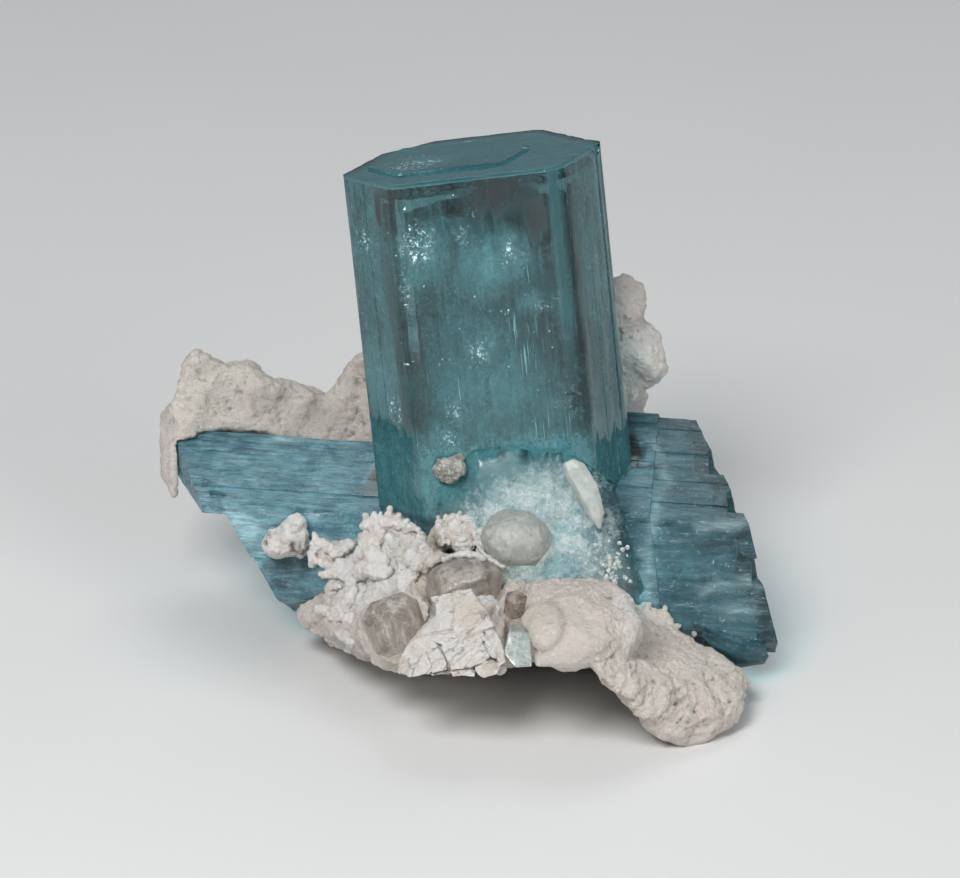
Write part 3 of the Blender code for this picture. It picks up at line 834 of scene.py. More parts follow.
@dataclass(frozen=True)
class HazeFinish:
    """Milky veil inside the beryl, with gaps that show what is deeper, near-black painted shade in its dark
    zones and painted glints on its flecks.
    """

    deep: Colour = (0.012, 0.08, 0.092)
    middle: Colour = (0.03, 0.15, 0.168)
    milky: Colour = (0.13, 0.33, 0.35)
    # Even teal for the strip behind the front-right edge, painted light standing in for the edge's refraction,
    # and under the top face, painted shade.
    band: Colour = (0.016, 0.09, 0.104)
    lying_deep: Colour = (0.02, 0.08, 0.1)
    lying_pale: Colour = (0.1, 0.25, 0.3)
    # Near-black painted shade for the veil's dark zones and under the top face.
    painted_dark: Colour = (0.003, 0.01, 0.014)
    glint: Colour = (0.95, 1.0, 1.0)

    def build(self) -> Material:
        """Lay down the finish.

        Returns:
            The material.
        """
        g = Graph("veil_haze")
        even = g.place()
        upright = g.place(UPRIGHT_EULER, (1.0, 1.0, 1.8))
        fine = g.place(UPRIGHT_EULER, (1.0, 1.0, 22.0))
        lying = g.place(LYING_EULER, (7.0, 1.0, 1.0))
        flat = g.kept("lying")
        dense = g.kept("dense")
        dark = g.kept("dark")
        painted_glint = g.kept("painted_glint")
        edge = g.kept("band")
        billow = g.cloud(upright, 3.8, 8.0, 0.66, 0.6)
        wisps = g.cloud(upright, 1.2, 6.0, 0.72, 1.0)
        threads = g.cloud(fine, 0.36, 3.0, 0.6)
        dust = g.cloud(even, 0.3, 4.0, 0.78)
        sheets = g.cloud(lying, 1.1, 6.0, 0.68, 0.3)
        flecks = g.cloud(even, 0.42, 4.0, 0.75).rise(0.55, 0.63)
        noise = billow * 0.5 + wisps * 0.45 + threads * 0.6 + dust * 0.6
        upright_share = (dense * 1.25 + noise - 1.45).rise(0.0, 0.75) * 0.85
        lying_share = (0.85 + sheets.rise(0.36, 0.66) * 0.15) * dense
        cover = upright_share * (1.0 - flat) + lying_share * flat
        # Painted shade: where the dark mark is high the veil turns opaque and near black.
        gloom = dark * 1.2 + threads * 0.8 + wisps * 0.3 + dust * 0.3 - 0.95
        shade = gloom.rise(0.0, 0.7) * dark.rise(0.0, 0.35)
        cover = cover + shade * 0.92 + painted_glint * flecks + edge * 0.85
        tone = g.blend(billow.rise(0.34, 0.6), self.deep, self.middle)
        mottle = g.cloud(even, 1.0, 5.0, 0.7, 0.7)
        tone = g.blend(mottle.rise(0.5, 0.36) * 0.6, tone, self.deep)
        creamy = mottle.rise(0.53, 0.68) * 0.6 + billow.rise(0.56, 0.76) * 0.35
        tone = g.blend(creamy.held(), tone, self.milky)
        tone = g.blend(threads.rise(0.48, 0.3) * 0.3, tone, self.deep)
        tone = g.blend(dust.rise(0.54, 0.66) * 0.45, tone, self.milky)
        tone = g.blend(dust.rise(0.46, 0.34) * 0.45, tone, self.deep)
        streaks = g.blend(sheets.rise(0.34, 0.68), self.lying_deep, self.lying_pale)
        tone = g.blend(flat, tone, streaks)
        # The milk mark is milky haze, and at the prism's foot painted light.
        pale = g.kept("milk")
        speckled = wisps.rise(0.32, 0.66) * 0.4 + dust.rise(0.44, 0.6) * 0.25 + 0.1
        tone = g.blend((pale * speckled).held(), tone, self.milky)
        tone = g.blend(edge * 0.85, tone, self.band)
        tone = g.blend(shade, tone, self.painted_dark)
        # Painted glints: bright flecks where the glint mark is set.
        tone = g.blend((painted_glint * flecks * 1.4).held(), tone, self.glint)
        return g.close(g.surface({"Base Color": tone, "Roughness": 0.55, "Alpha": cover.held()}))


@dataclass(frozen=True)
class VeilFinish:
    """A healed crack: a sheet of fine bubbles with ragged edges."""

    pale: Colour = (0.26, 0.44, 0.46)
    bright: Colour = (0.75, 0.92, 0.94)

    def build(self) -> Material:
        """Lay down the finish.

        Returns:
            The material.
        """
        g = Graph("healed_veil")
        even = g.place()
        cloudy = g.cloud(even, 0.9, 7.0, 0.76, 1.2)
        bubbles = g.cloud(even, 0.2, 3.0, 0.8)
        edge = g.kept("fade")
        foam = bubbles.rise(0.6, 0.68) * cloudy.rise(0.42, 0.6) * 0.8
        cover = edge.rise(0.0, 0.6) * (cloudy.rise(0.5, 0.66) * 0.4 + foam)
        tone = g.blend(bubbles.rise(0.58, 0.68), self.pale, self.bright)
        return g.close(g.surface({"Base Color": tone, "Roughness": 0.3, "Alpha": cover.held()}))


@dataclass(frozen=True)
class SparkFinish:
    """Bright faces of tiny cracks inside the beryl that reflect the lamps; some of them also glow by emission,
    painted light.
    """

    tone: Colour = (0.72, 0.9, 0.92)
    worn: Colour = (0.4, 0.62, 0.66)
    glow: Colour = (0.9, 1.0, 1.0)
    unlit: Colour = (0.0, 0.0, 0.0)

    def build(self) -> Material:
        """Lay down the finish.

        Returns:
            The material.
        """
        g = Graph("inner_spark")
        even = g.place()
        worn = g.cloud(even, 0.3, 2.0)
        # Painted light: the flakes glow by emission, each as strongly as its glow mark.
        lit = g.kept("glow")
        inputs = {
            "Base Color": g.blend(worn.rise(0.4, 0.6), self.tone, self.worn),
            "Roughness": 0.12 + worn * 0.3,
            "Metallic": 0.7 - lit * 0.5,
            "Emission Color": g.blend(lit, self.unlit, self.glow),
            "Emission Strength": 1.1,
        }
        return g.close(g.surface(inputs))


@dataclass(frozen=True)
class ThreadFinish:
    """Growth tubes: fine threads along a prism, pale or dark."""

    pale: Colour = (0.45, 0.75, 0.78)
    dark: Colour = (0.02, 0.06, 0.07)

    def build(self) -> Material:
        """Lay down the finish.

        Returns:
            The material.
        """
        g = Graph("growth_thread")
        even = g.place(LEVEL, (1.0, 1.0, 3.0))
        tone = g.blend(g.cloud(even, 2.2, 2.0).rise(0.42, 0.58), self.dark, self.pale)
        return g.close(g.surface({"Base Color": tone, "Roughness": 0.4}))


class RockGrain(Enum):
    """How the feldspar broke or grew."""

    ROUGH = "rough"
    SUGARY = "sugary"
    CLEAVED = "cleaved"


@dataclass(frozen=True)
class FeldsparFinish:
    """Cream to pinkish feldspar with painted shade in its crevices and fine crystal grain."""

    grain: RockGrain
    cream: Colour = (0.82, 0.745, 0.66)
    pink: Colour = (0.8, 0.69, 0.62)
    white: Colour = (0.97, 0.95, 0.92)
    beige: Colour = (0.47, 0.39, 0.32)
    warm: Colour = (0.72, 0.56, 0.41)
    crevice_shade: Colour = (0.1, 0.065, 0.045)
    olive: Colour = (0.2, 0.17, 0.09)

    def build(self) -> Material:
        """Lay down the finish.

        Returns:
            The material.
        """
        g = Graph("feldspar_" + self.grain.value)
        even = g.place()
        broad = g.cloud(even, 7.0, 4.0, 0.55, 0.4)
        middle = g.cloud(even, 1.5, 6.0, 0.66, 0.4)
        fine = g.cloud(even, 0.38, 5.0, 0.74)
        dust = g.cloud(even, 0.13, 2.0, 0.7)
        hollow_shade = g.kept("hollow_shade")
        tone = g.blend(broad.rise(0.38, 0.66), self.cream, self.pink)
        white_share = {RockGrain.ROUGH: 0.22, RockGrain.SUGARY: 1.0, RockGrain.CLEAVED: 0.8}[self.grain]
        tone = g.blend((middle.rise(0.3, 0.58) * white_share + g.kept("white") * 0.7).held(), tone, self.white)
        soiled = {RockGrain.ROUGH: 1.0, RockGrain.SUGARY: 0.25, RockGrain.CLEAVED: 0.6}[self.grain]
        tone = g.blend(fine.rise(0.54, 0.72) * 0.36 * soiled, tone, self.beige)
        tone = g.blend(dust.rise(0.56, 0.68) * (0.6 - 0.25 * soiled), tone, self.white)
        tone = g.blend(dust.rise(0.42, 0.32) * 0.28 * soiled, tone, self.beige)
        tone = g.blend(g.kept("warm") * 0.7, tone, self.warm)
        # Painted shade: near black in the hollows that the mesh marks.
        tone = g.blend((hollow_shade * (0.65 + fine * 0.6)).held(), tone, self.crevice_shade)
        tone = g.blend(g.kept("stain") * middle.rise(0.4, 0.56) * 0.8, tone, self.olive)
        crystals = g.cell(even, 0.3)
        facet = g.cell(even, 0.34, "F1", "Color")
        skin = g.bump(dust, 0.1, 0.9, g.bump(fine, 0.42, 1.0, g.bump(crystals, 0.12, 0.6)))
        glossy = facet.rise(0.66, 0.74) * 0.35
        inputs = {
            "Base Color": tone,
            "Roughness": 0.72 - glossy,
            "Specular IOR Level": 0.4,
            "Subsurface Weight": 0.05,
            "Subsurface Radius": (1.0, 0.8, 0.7),
            "Subsurface Scale": 0.25 * MM,
            "Normal": skin,
        }
        return g.close(g.surface(inputs))


@dataclass(frozen=True)
class QuartzFinish:
    """Cloudy quartz: greasy glass with smoke or milk in it."""

    name: str
    milk: Colour
    smoke: Colour
    frost: Colour
    cloudy: float = 0.35
    density: float = 200.0
    gloss: float = 0.6
    drawn: float = 1.0
    ior: float = 1.544
    dusk: Colour = (0.14, 0.12, 0.1)
    shine_through: Colour = (0.88, 0.86, 0.83)

    def build(self) -> Material:
        """Lay down the finish.

        Returns:
            The material.
        """
        g = Graph(self.name)
        even = g.place()
        leaning = Euler((0.0, 0.25, 0.0))
        tall = g.place(leaning, (1.0, 1.0, 6.0))
        wisps = g.cloud(g.place(leaning, (1.0, 1.0, self.drawn)), 1.3, 6.0, 0.68, 0.3)
        lines = g.cloud(tall, 0.3, 3.0, 0.6)
        specks = g.cloud(even, 0.2, 3.0, 0.75)
        skin = g.bump(lines, 0.07, 0.35, g.bump(specks, 0.06, 0.3))
        rubbed = 0.41 - 0.6 * self.gloss + wisps.rise(0.42, 0.7) * 0.3
        clear = g.glass((0.98, 0.97, 0.96), rubbed, self.ior, skin)
        tone = g.blend(wisps.rise(0.36, 0.66), self.milk, self.frost)
        tone = g.blend(specks.rise(0.56, 0.72) * 0.6, tone, self.frost)
        tone = g.blend(lines.rise(0.54, 0.66) * 0.5, tone, self.frost)
        tone = g.blend(lines.rise(0.46, 0.32) * 0.5, tone, self.dusk)
        coat = {"Coat Weight": self.gloss, "Coat Roughness": 0.06, "Coat IOR": 1.54}
        milk = g.surface({"Base Color": tone, "Roughness": 0.55 - 0.5 * self.gloss, "Normal": skin, **coat})
        share = (wisps.rise(0.34, 0.66) * 0.5 + specks.rise(0.54, 0.66) * 0.2 + self.cloudy).held()
        body = g.lamp_lit(g.between(share, clear, milk), self.shine_through)
        inside = g.node("VolumeAbsorption", {}, {"Color": self.smoke, "Density": self.density})
        return g.close(body, inside)


@dataclass(frozen=True)
class WaxyFinish:
    """Pale greenish feldspar of the slim blade, smooth and slightly see-through."""

    pale: Colour = (0.42, 0.47, 0.44)
    white: Colour = (0.56, 0.59, 0.56)

    def build(self) -> Material:
        """Lay down the finish.

        Returns:
            The material.
        """
        g = Graph("waxy_blade")
        even = g.place()
        mottle = g.cloud(even, 1.1, 4.0, 0.6, 0.4)
        fine = g.cloud(even, 0.2, 3.0, 0.6)
        tone = g.blend(mottle.rise(0.35, 0.65), self.pale, self.white)
        inputs = {
            "Base Color": tone,
            "Roughness": 0.32 + fine * 0.25,
            "Subsurface Weight": 0.35,
            "Subsurface Radius": (1.0, 1.0, 0.9),
            "Subsurface Scale": 0.8 * MM,
            "Normal": g.bump(fine, 0.05, 0.5),
        }
        return g.close(g.surface(inputs))


@dataclass(frozen=True)
class CrustFinish:
    """Grey-brown earthy crust with pale specks."""

    brown: Colour = (0.2, 0.185, 0.15)
    grey: Colour = (0.38, 0.39, 0.36)
    pale: Colour = (0.68, 0.73, 0.71)

    def build(self) -> Material:
        """Lay down the finish.

        Returns:
            The material.
        """
        g = Graph("grey_crust")
        even = g.place()
        mottle = g.cloud(even, 0.9, 5.0, 0.65)
        specks = g.cloud(even, 0.25, 3.0, 0.7)
        tone = g.blend(mottle.rise(0.38, 0.62), self.brown, self.grey)
        tone = g.blend(specks.rise(0.54, 0.68) * 0.8, tone, self.pale)
        # Browner where the grain's relief dips.
        tone = g.blend(g.kept("hollow_shade") * 0.6, tone, self.brown)
        skin = g.bump(specks, 0.06, 0.5)
        return g.close(g.surface({"Base Color": tone, "Roughness": 0.8, "Normal": skin}))


@dataclass(frozen=True)
class FloorFinish:
    """Plain pale matt floor with a trace of grain."""

    low: Colour = (0.74, 0.74, 0.73)
    high: Colour = (0.79, 0.79, 0.78)

    def build(self) -> Material:
        """Lay down the finish.

        Returns:
            The material.
        """
        g = Graph("studio_floor")
        wide = g.place()
        tone = g.blend(g.cloud(wide, 60.0, 3.0), self.low, self.high)
        return g.close(g.surface({"Base Color": tone, "Roughness": 0.7, "Specular IOR Level": 0.2}))


@dataclass
class BerylCluster(Piece):
    """The beryl crystals that grew together: one clear solid with fine natural faces."""

    slot = "aquamarine"
    nodes = ("aquamarine_crystals",)
    slice_step: float = 0.9
    # Start and end of the cuts along the upright prism, the lying ones and from front to back.
    upright_span: tuple[float, float] = (12.0, 52.5)
    lying_span: tuple[float, float] = (-34.0, 34.0)
    depth_span: tuple[float, float] = (-13.0, 24.0)
    sharp_deg: float = 17.0
    wave: float = 0.035
    side_steps: float = 0.09
    ledge: float = 0.13
    etching: float = 0.42
    frost_spots: tuple = (
        ((7.2, -6.4, 20.4), (9.2, 4.6, 5.4)), ((6.0, -10.0, 15.6), (9.6, 5.0, 5.2)),
        ((12.6, -8.0, 12.6), (6.4, 4.6, 4.8)), ((-0.2, -6.0, 15.4), (4.6, 4.2, 6.4)),
    )
    seams: tuple = (
        (
            ((19.5, 9.0, 20.2), (20.5, 2.9, 18.3), (19.2, -3.2, 16.5), (18.2, -4.4, 12.7), (17.7, -5.5, 8.8)),
            0.45,
        ),
        (((23.7, -4.1, 16.1), (28.1, -4.4, 16.8)), 0.55),
        (((23.5, -5.6, 9.9), (27.2, -6.1, 10.8), (30.0, -6.4, 11.2)), 0.55),
        (((18.2, -4.1, 13.6), (18.7, -5.6, 8.8)), 0.8),
        (((26.2, -6.5, 8.1), (28.7, -7.0, 8.6)), 0.9),
        (((-22.6, 3.5, 13.7), (-20.5, 2.4, 10.8)), 1.4),
        (((-19.9, 13.7, 18.1), (-15.2, 14.8, 18.2), (-9.6, 15.0, 18.0)), 0.8),
    )
    # Spots on the lying prisms where the milky tone is made darker, middle and radii: painted shade.
    painted_shade_spots: tuple = (((-17.6, 1.6, 8.4), (4.4, 5.0, 2.6)), ((24.0, 6.0, 19.6), (8.0, 8.0, 4.0)))

    def frosting(self, points: ndarray) -> ndarray:
        """Say how etched each point is, 0 to 1."""
        return within(shaken(points, 0.9, 2.4, 71), self.frost_spots, 0.8)

    def lying_share(self, points: ndarray) -> ndarray:
        """Say whether each point belongs to the lying prisms (1) or the upright one (0).

        Args:
            points: Points in the part's frame, one a row.

        Returns:
            One number for each point.
        """
        local = upright_local(points)
        across = np.hypot(local[:, 0] / 14.6, local[:, 1] / 11.6)
        return np.maximum(ramp(across, 0.98, 1.05), ramp(local[:, 2], -33.0, -35.0))

    def sliced(self) -> Shape:
        """Cut the crystals' CAD solid so finely that its faces can carry ribs.

        Returns:
            The cut shape.
        """
        shape = Shape.from_node("aquamarine_cluster", "aquamarine_crystals")
        upright = (upright_turn() @ Vector((0.0, 0.0, 1.0))).normalized()
        shape.slice(upright, *self.upright_span, self.slice_step)
        shape.slice(lying_heading(), *self.lying_span, self.slice_step)
        shape.slice(Vector((0.0, 1.0, 0.0)), *self.depth_span, self.slice_step)
        shape.harden(self.sharp_deg)
        return shape

    def relief(self, points: ndarray, frost: ndarray, flat: ndarray) -> ndarray:
        """Work out the ribs, steps and pits.

        Args:
            points: Points in the part's frame, one a row.
            frost: How etched each point is.
            flat: How far it belongs to the lying prisms.

        Returns:
            The height of each point over the plain solid.
        """
        local = upright_local(points)
        height = self.wave * rough(local, (1.4, 1.4, 9.0), 11)
        right_side = ramp(local[:, 0], 8.3, 9.2) * (1.0 - flat)
        height += self.side_steps * rough(local, (0.9, 0.9, 24.0), 13, 2) * right_side
        height += flat * self.ledge * rough(lying_local(points), (3.4, 0.8, 0.8), 23, 4, 0.6)
        bumps, _ = grains(points, 1.5, 31)
        return height + frost * self.etching * (0.55 * rough(points, 1.7, 41, 4, 0.6) - 0.35 * bumps)

    def build(self) -> Shape:
        """Make the outer surface of the crystals.

        Returns:
            The crystals.
        """
        shape = self.sliced()
        points = shape.points()
        frost = self.frosting(points)
        flat = self.lying_share(points) * (1.0 - frost)
        shape.raise_by(self.relief(points, frost, flat))
        ragged = shaken(points, 0.5, 1.2, 73)
        band = np.max([along(ragged, path, width) for path, width in self.seams], axis=0)
        painted_dim = within(ragged, self.painted_shade_spots, 0.7)
        beside = ramp(points[:, 0], 16.0, 19.0) * ramp(points[:, 0], 21.0, 18.0)
        shape.mark("frost", frost)
        shape.mark("lying", flat)
        shape.mark("band", np.clip(band * flat, 0.0, 1.0))
        # The pale mark picks the lighter copy of the milky tone: towards the left and in a band from x 16 to
        # 21, less in the dim spots; painted light and shade.
        shape.mark("pale", np.clip(ramp(points[:, 0], 0.0, -6.0) - 0.6 * painted_dim + 0.6 * beside, 0.0, 1.0))
        return shape


@dataclass
class EtchedMass(Piece):
    """Pale etched beryl over the foot of the upright prism: lumpy, frosted and half see-through."""

    slot = "aquamarine"
    nodes = ()
    voxel: float = 0.25
    relief: float = 0.3
    lift: float = 0.05
    middle: Point = (7.4, -7.0, 16.6)
    radii: Point = (10.6, 13.0, 8.4)
    blue_patch: tuple = ((9.8, -11.0, 14.4), (2.4, 4.0, 1.7))
    corners: tuple = (
        (1.1, -3.7, 24.2), (5.7, -3.9, 24.4), (11.1, -3.5, 23.6), (14.9, -2.9, 20.6), (15.5, -4.9, 16.4),
        (18.1, -7.3, 10.6), (16.9, -9.5, 10.2), (9.7, -12.5, 11.4), (2.1, -10.7, 13.2), (-2.1, -6.3, 15.6),
        (-2.9, -3.7, 20.4), (-3.1, -2.7, 13.0), (4.7, -11.3, 15.6), (12.1, -9.7, 15.0), (6.7, -0.5, 22.0),
        (8.3, -7.3, 19.4), (13.0, -2.0, 11.0), (2.0, -3.0, 12.0),
    )

    def build(self) -> Shape:
        """Make the mass with its etched relief, and keep on it how much of it shows.

        Returns:
            The mass.
        """
        shape = Shape.from_bmesh("etched_mass", wrapped(self.corners))
        shape.voxel(self.voxel)
        shape.relax(6)
        points = shape.points()
        steps = np.abs(rough(swirled(points, 0.6, 2.0, 301), (1.6, 1.6, 1.0), 311, 4, 0.6))
        height = self.relief * (rough(points, 2.2, 305, 4, 0.6) + (0.4 - 2.2 * steps))
        shape.raise_by(height + self.lift)
        ragged = (points - np.array(self.middle)) / np.array(self.radii)
        reach = np.hypot(ragged[:, 0], ragged[:, 2]) + 0.17 * rough(points, 2.2, 341, 5, 0.65)
        centre, size = self.blue_patch
        blue = near(shaken(points, 0.25, 0.9, 343), centre, size, 0.25)
        shape.mark("fade", ramp(reach, 0.97, 0.5))
        shape.mark("thin", np.maximum(blue, 0.55 * ramp(rough(points, 2.6, 331, 5, 0.62), 0.05, 0.5)))
        return shape


@dataclass
class InnerHaze(InnerPiece):
    """Milky veils inside the beryl: nested shells in the upright prism and a core in the lying ones."""

    cluster: BerylCluster
    section: tuple = ((-8.3, -9.2), (8.55, -7.93), (13.02, 1.35), (6.76, 10.5), (-7.6, 9.44), (-13.15, -2.09))
    # Shells: size against the prism's section, depth under its top, and how dense they are.
    shells: tuple = ((0.98, 0.36, 0.5), (0.82, 1.8, 0.62), (0.56, 4.0, 1.1))
    bottom: float = -34.5
    rim: float = 0.06
    grid: float = 0.5
    least_depth: float = 0.14
    core_depth: float = 1.5
    # Share of the painted shade that the outer shell gets.
    front_painted_dark: float = 0.8
    core_voxel: float = 0.8
    # Places in the upright prism's axes: middle and radii.
    clear_spots: tuple = (
        ((2.4, -7.0, -1.4), (7.4, 5.0, 5.0)), ((6.0, -7.0, -4.6), (2.2, 4.0, 5.0)),
        ((7.8, -6.0, -17.6), (1.5, 4.0, 3.6)),
    )
    # Painted shade: zones where the veil is made near black.
    painted_dark_spots: tuple = (
        ((2.4, -7.0, -1.4), (7.0, 5.0, 5.0)), ((5.8, -7.0, -4.4), (2.2, 4.0, 4.8)),
        ((-9.6, -7.4, -2.6), (1.0, 3.0, 3.4)), ((7.6, -6.0, -17.4), (1.2, 3.0, 3.2)),
    )
    # Milky zones; the lowest, at the prism's foot, is painted light over the part that the lying prisms shade.
    milky_and_painted_light_spots: tuple = (
        ((-5.6, -6.0, -8.0), (4.0, 6.0, 5.0)), ((0.6, -6.0, -9.6), (6.0, 6.0, 4.2)),
        ((-11.0, -4.0, -20.0), (3.6, 6.0, 5.0)), ((-1.0, -5.0, -18.0), (3.4, 5.0, 4.0)),
        ((-6.0, -6.0, -27.0), (4.0, 5.0, 4.0)), ((-1.0, -6.0, -23.0), (9.0, 5.0, 8.0)),
        ((3.0, -6.0, -9.0), (3.0, 5.0, 3.4)), ((-4.6, 0.5, -0.2), (4.4, 4.0, 1.2)),
        ((4.0, -5.0, -13.4), (2.4, 5.0, 1.8)), ((0.0, -8.0, -31.0), (14.0, 7.0, 4.6)),
    )
    # Painted glints: zones where bright flecks are painted on the veil.
    painted_glint_spots: tuple = (
        ((-6.4, -8.4, -6.4), (2.9, 3.0, 3.4)), ((-7.9, -8.4, -11.0), (0.9, 2.0, 3.0)),
        ((2.7, -8.0, -8.3), (1.2, 2.0, 1.3)), ((-1.9, -8.0, -5.6), (1.0, 2.0, 1.9)),
        ((-11.4, -4.6, -6.2), (1.4, 2.6, 2.2)), ((-10.0, -6.0, -23.4), (1.3, 2.6, 1.9)),
        ((-4.3, -8.0, -23.5), (1.1, 2.0, 1.5)), ((5.6, -7.8, -14.0), (1.7, 2.0, 0.7)),
        ((-1.2, -8.0, -17.8), (1.6, 2.0, 2.0)), ((-5.2, -8.0, -27.0), (1.6, 2.0, 1.4)),
        ((-5.6, -1.0, -0.6), (4.2, 3.2, 1.4)),
    )

    def outline(self, scale: float) -> ndarray:
        """Lay evenly spaced points round the shrunken section.

        Args:
            scale: Its size against the prism's own.

        Returns:
            The points, two numbers a row.
        """
        corners = np.array(self.section) * scale
        made = []
        for first, second in zip(corners, np.roll(corners, -1, axis=0)):
            count = max(2, round(float(np.linalg.norm(second - first)) / self.grid))
            made += [first + (second - first) * step / count for step in range(count)]
        return np.array(made)

    def tube(self, layer: int) -> Solid:
        """Lay one shell: rings that make its top, rows down its sides and a closed bottom.

        Args:
            layer: Which shell, 0 being the outermost.

        Returns:
            Its points in the upright prism's axes, and its faces.
        """
        scale, depth, _ = self.shells[layer]
        ring = self.outline(scale)
        heights = [-depth, -depth - self.rim, *np.arange(-depth - self.grid, self.bottom, -self.grid)]
        rows = [(part, -depth) for part in np.arange(0.1, 1.0, 0.1)] + [(1.0, height) for height in heights]
        rings = [np.column_stack([ring * part, np.full(len(ring), height)]) for part, height in rows]
        points = np.concatenate([[(0.0, 0.0, heights[0])], *rings, [(0.0, 0.0, heights[-1])]])
        count, faces = len(ring), []
        for side in range(count):
            after = (side + 1) % count
            faces.append((0, 1 + side, 1 + after))
            for row in range(len(rings) - 1):
                low, high = 1 + row * count, 1 + (row + 1) * count
                faces.append((low + side, high + side, high + after, low + after))
            last = 1 + (len(rings) - 1) * count
            faces.append((last + side, len(points) - 1, last + after))
        return points, faces

    def mark_shell(self, shape: Shape, layer: int, local: ndarray) -> None:
        """Keep on a shell how milky its points are, and where they carry painted shade and painted glints.

        Args:
            shape: The shell.
            layer: Which shell, 0 being the outermost.
            local: Its points in the upright prism's axes, one a row.
        """
        _, depth, share = self.shells[layer]
        outer = float(layer == 0)
        across, forth, up = local.T
        ragged = local + 1.8 * rough(local, (0.9, 0.9, 4.0), 57, 4, 0.6)[:, None] * np.array((0.4, 0.2, 1.0))
        milky = within(ragged, self.milky_and_painted_light_spots, 0.8)
        # Painted shade in the dark zones.
        dark = within(ragged, self.painted_dark_spots, 0.8)
        # Just under the top face the outer shell turns opaque in the darker band tone and the inner shells are
        # darkened: painted shade.
        cap = ramp(up, -depth - 0.05, -depth - 0.01)
        clear = within(ragged, self.clear_spots, 0.8) * (1.0 - cap * outer)
        sides = ramp(np.abs(across), 8.8, 9.8) * ramp(forth, 3.0, 1.0) * outer
        # Painted light: the outer shell's foot, shaded by the lying prisms, is made denser and milkier.
        foot = ramp(up, -25.0, -29.0) * outer
        dense = share * (1.0 - 0.97 * clear) * (0.85 + 0.55 * milky) + 0.4 * sides + 0.35 * foot
        shape.mark("dense", dense + 2.4 * cap * outer)
        shape.mark("milk", np.clip(milky * (1.0 - clear) + 0.6 * foot, 0.0, 1.4))
        # Painted glints on the two outer shells.
        if layer < 2:
            shape.mark("painted_glint", within(ragged, self.painted_glint_spots, 0.9))
        if layer:
            shape.mark("dark", np.maximum(dark, 0.55 * cap))
            return
        shape.mark("dark", dark * (1.0 - cap) * self.front_painted_dark)
        # A strip behind the front-right edge in the even band tone, painted light standing in for the edge's
        # refraction; under the top face the band is painted shade.
        bevel = ramp(across, 7.0, 7.2) * ramp(forth, 0.0, -4.0) * ramp(across, 8.7, 8.4)
        shape.mark("band", np.maximum(bevel * ramp(up, -24.0, -15.0) * (1.0 - cap), 0.7 * cap))

    def shell(self, layer: int) -> Shape:
        """Make one shell of the upright prism.

        Args:
            layer: Which shell, 0 being the outermost.

        Returns:
            The shell.
        """
        local, faces = self.tube(layer)
        shape = Shape.from_parts(f"inner_haze_{layer}", [(from_upright(local), faces)])
        if layer:
            shape.raise_by(0.5 * rough(local, (2.4, 2.4, 6.0), 51 + 7 * layer))
        else:
            shape.place(self.interior.kept(shape.points(), self.least_depth))
        self.mark_shell(shape, layer, local)
        shape.soften()
        return shape

    def core(self) -> Shape:
        """Make the streaky core of the lying prisms.

        Returns:
            The core.
        """
        shape = Shape.from_node("inner_core", "aquamarine_crystals")
        shape.voxel(self.core_voxel)
        deeper = shape.points() - shape.normals() * self.core_depth
        shape.place(self.interior.kept(deeper, self.core_depth))
        shape.relax(2, 0.4)
        lying = self.cluster.lying_share(shape.points())
        shape.mark("dense", lying)
        shape.mark("lying", lying)
        shape.soften()
        return shape

    def dress(self, finish: HazeFinish) -> None:
        """Build every shell and the core, and give them their finish.

        Args:
            finish: The haze.
        """
        material = finish.build()
        for layer in range(len(self.shells)):
            self.shell(layer).wear(material, self.slot)
        self.core().wear(material, self.slot)


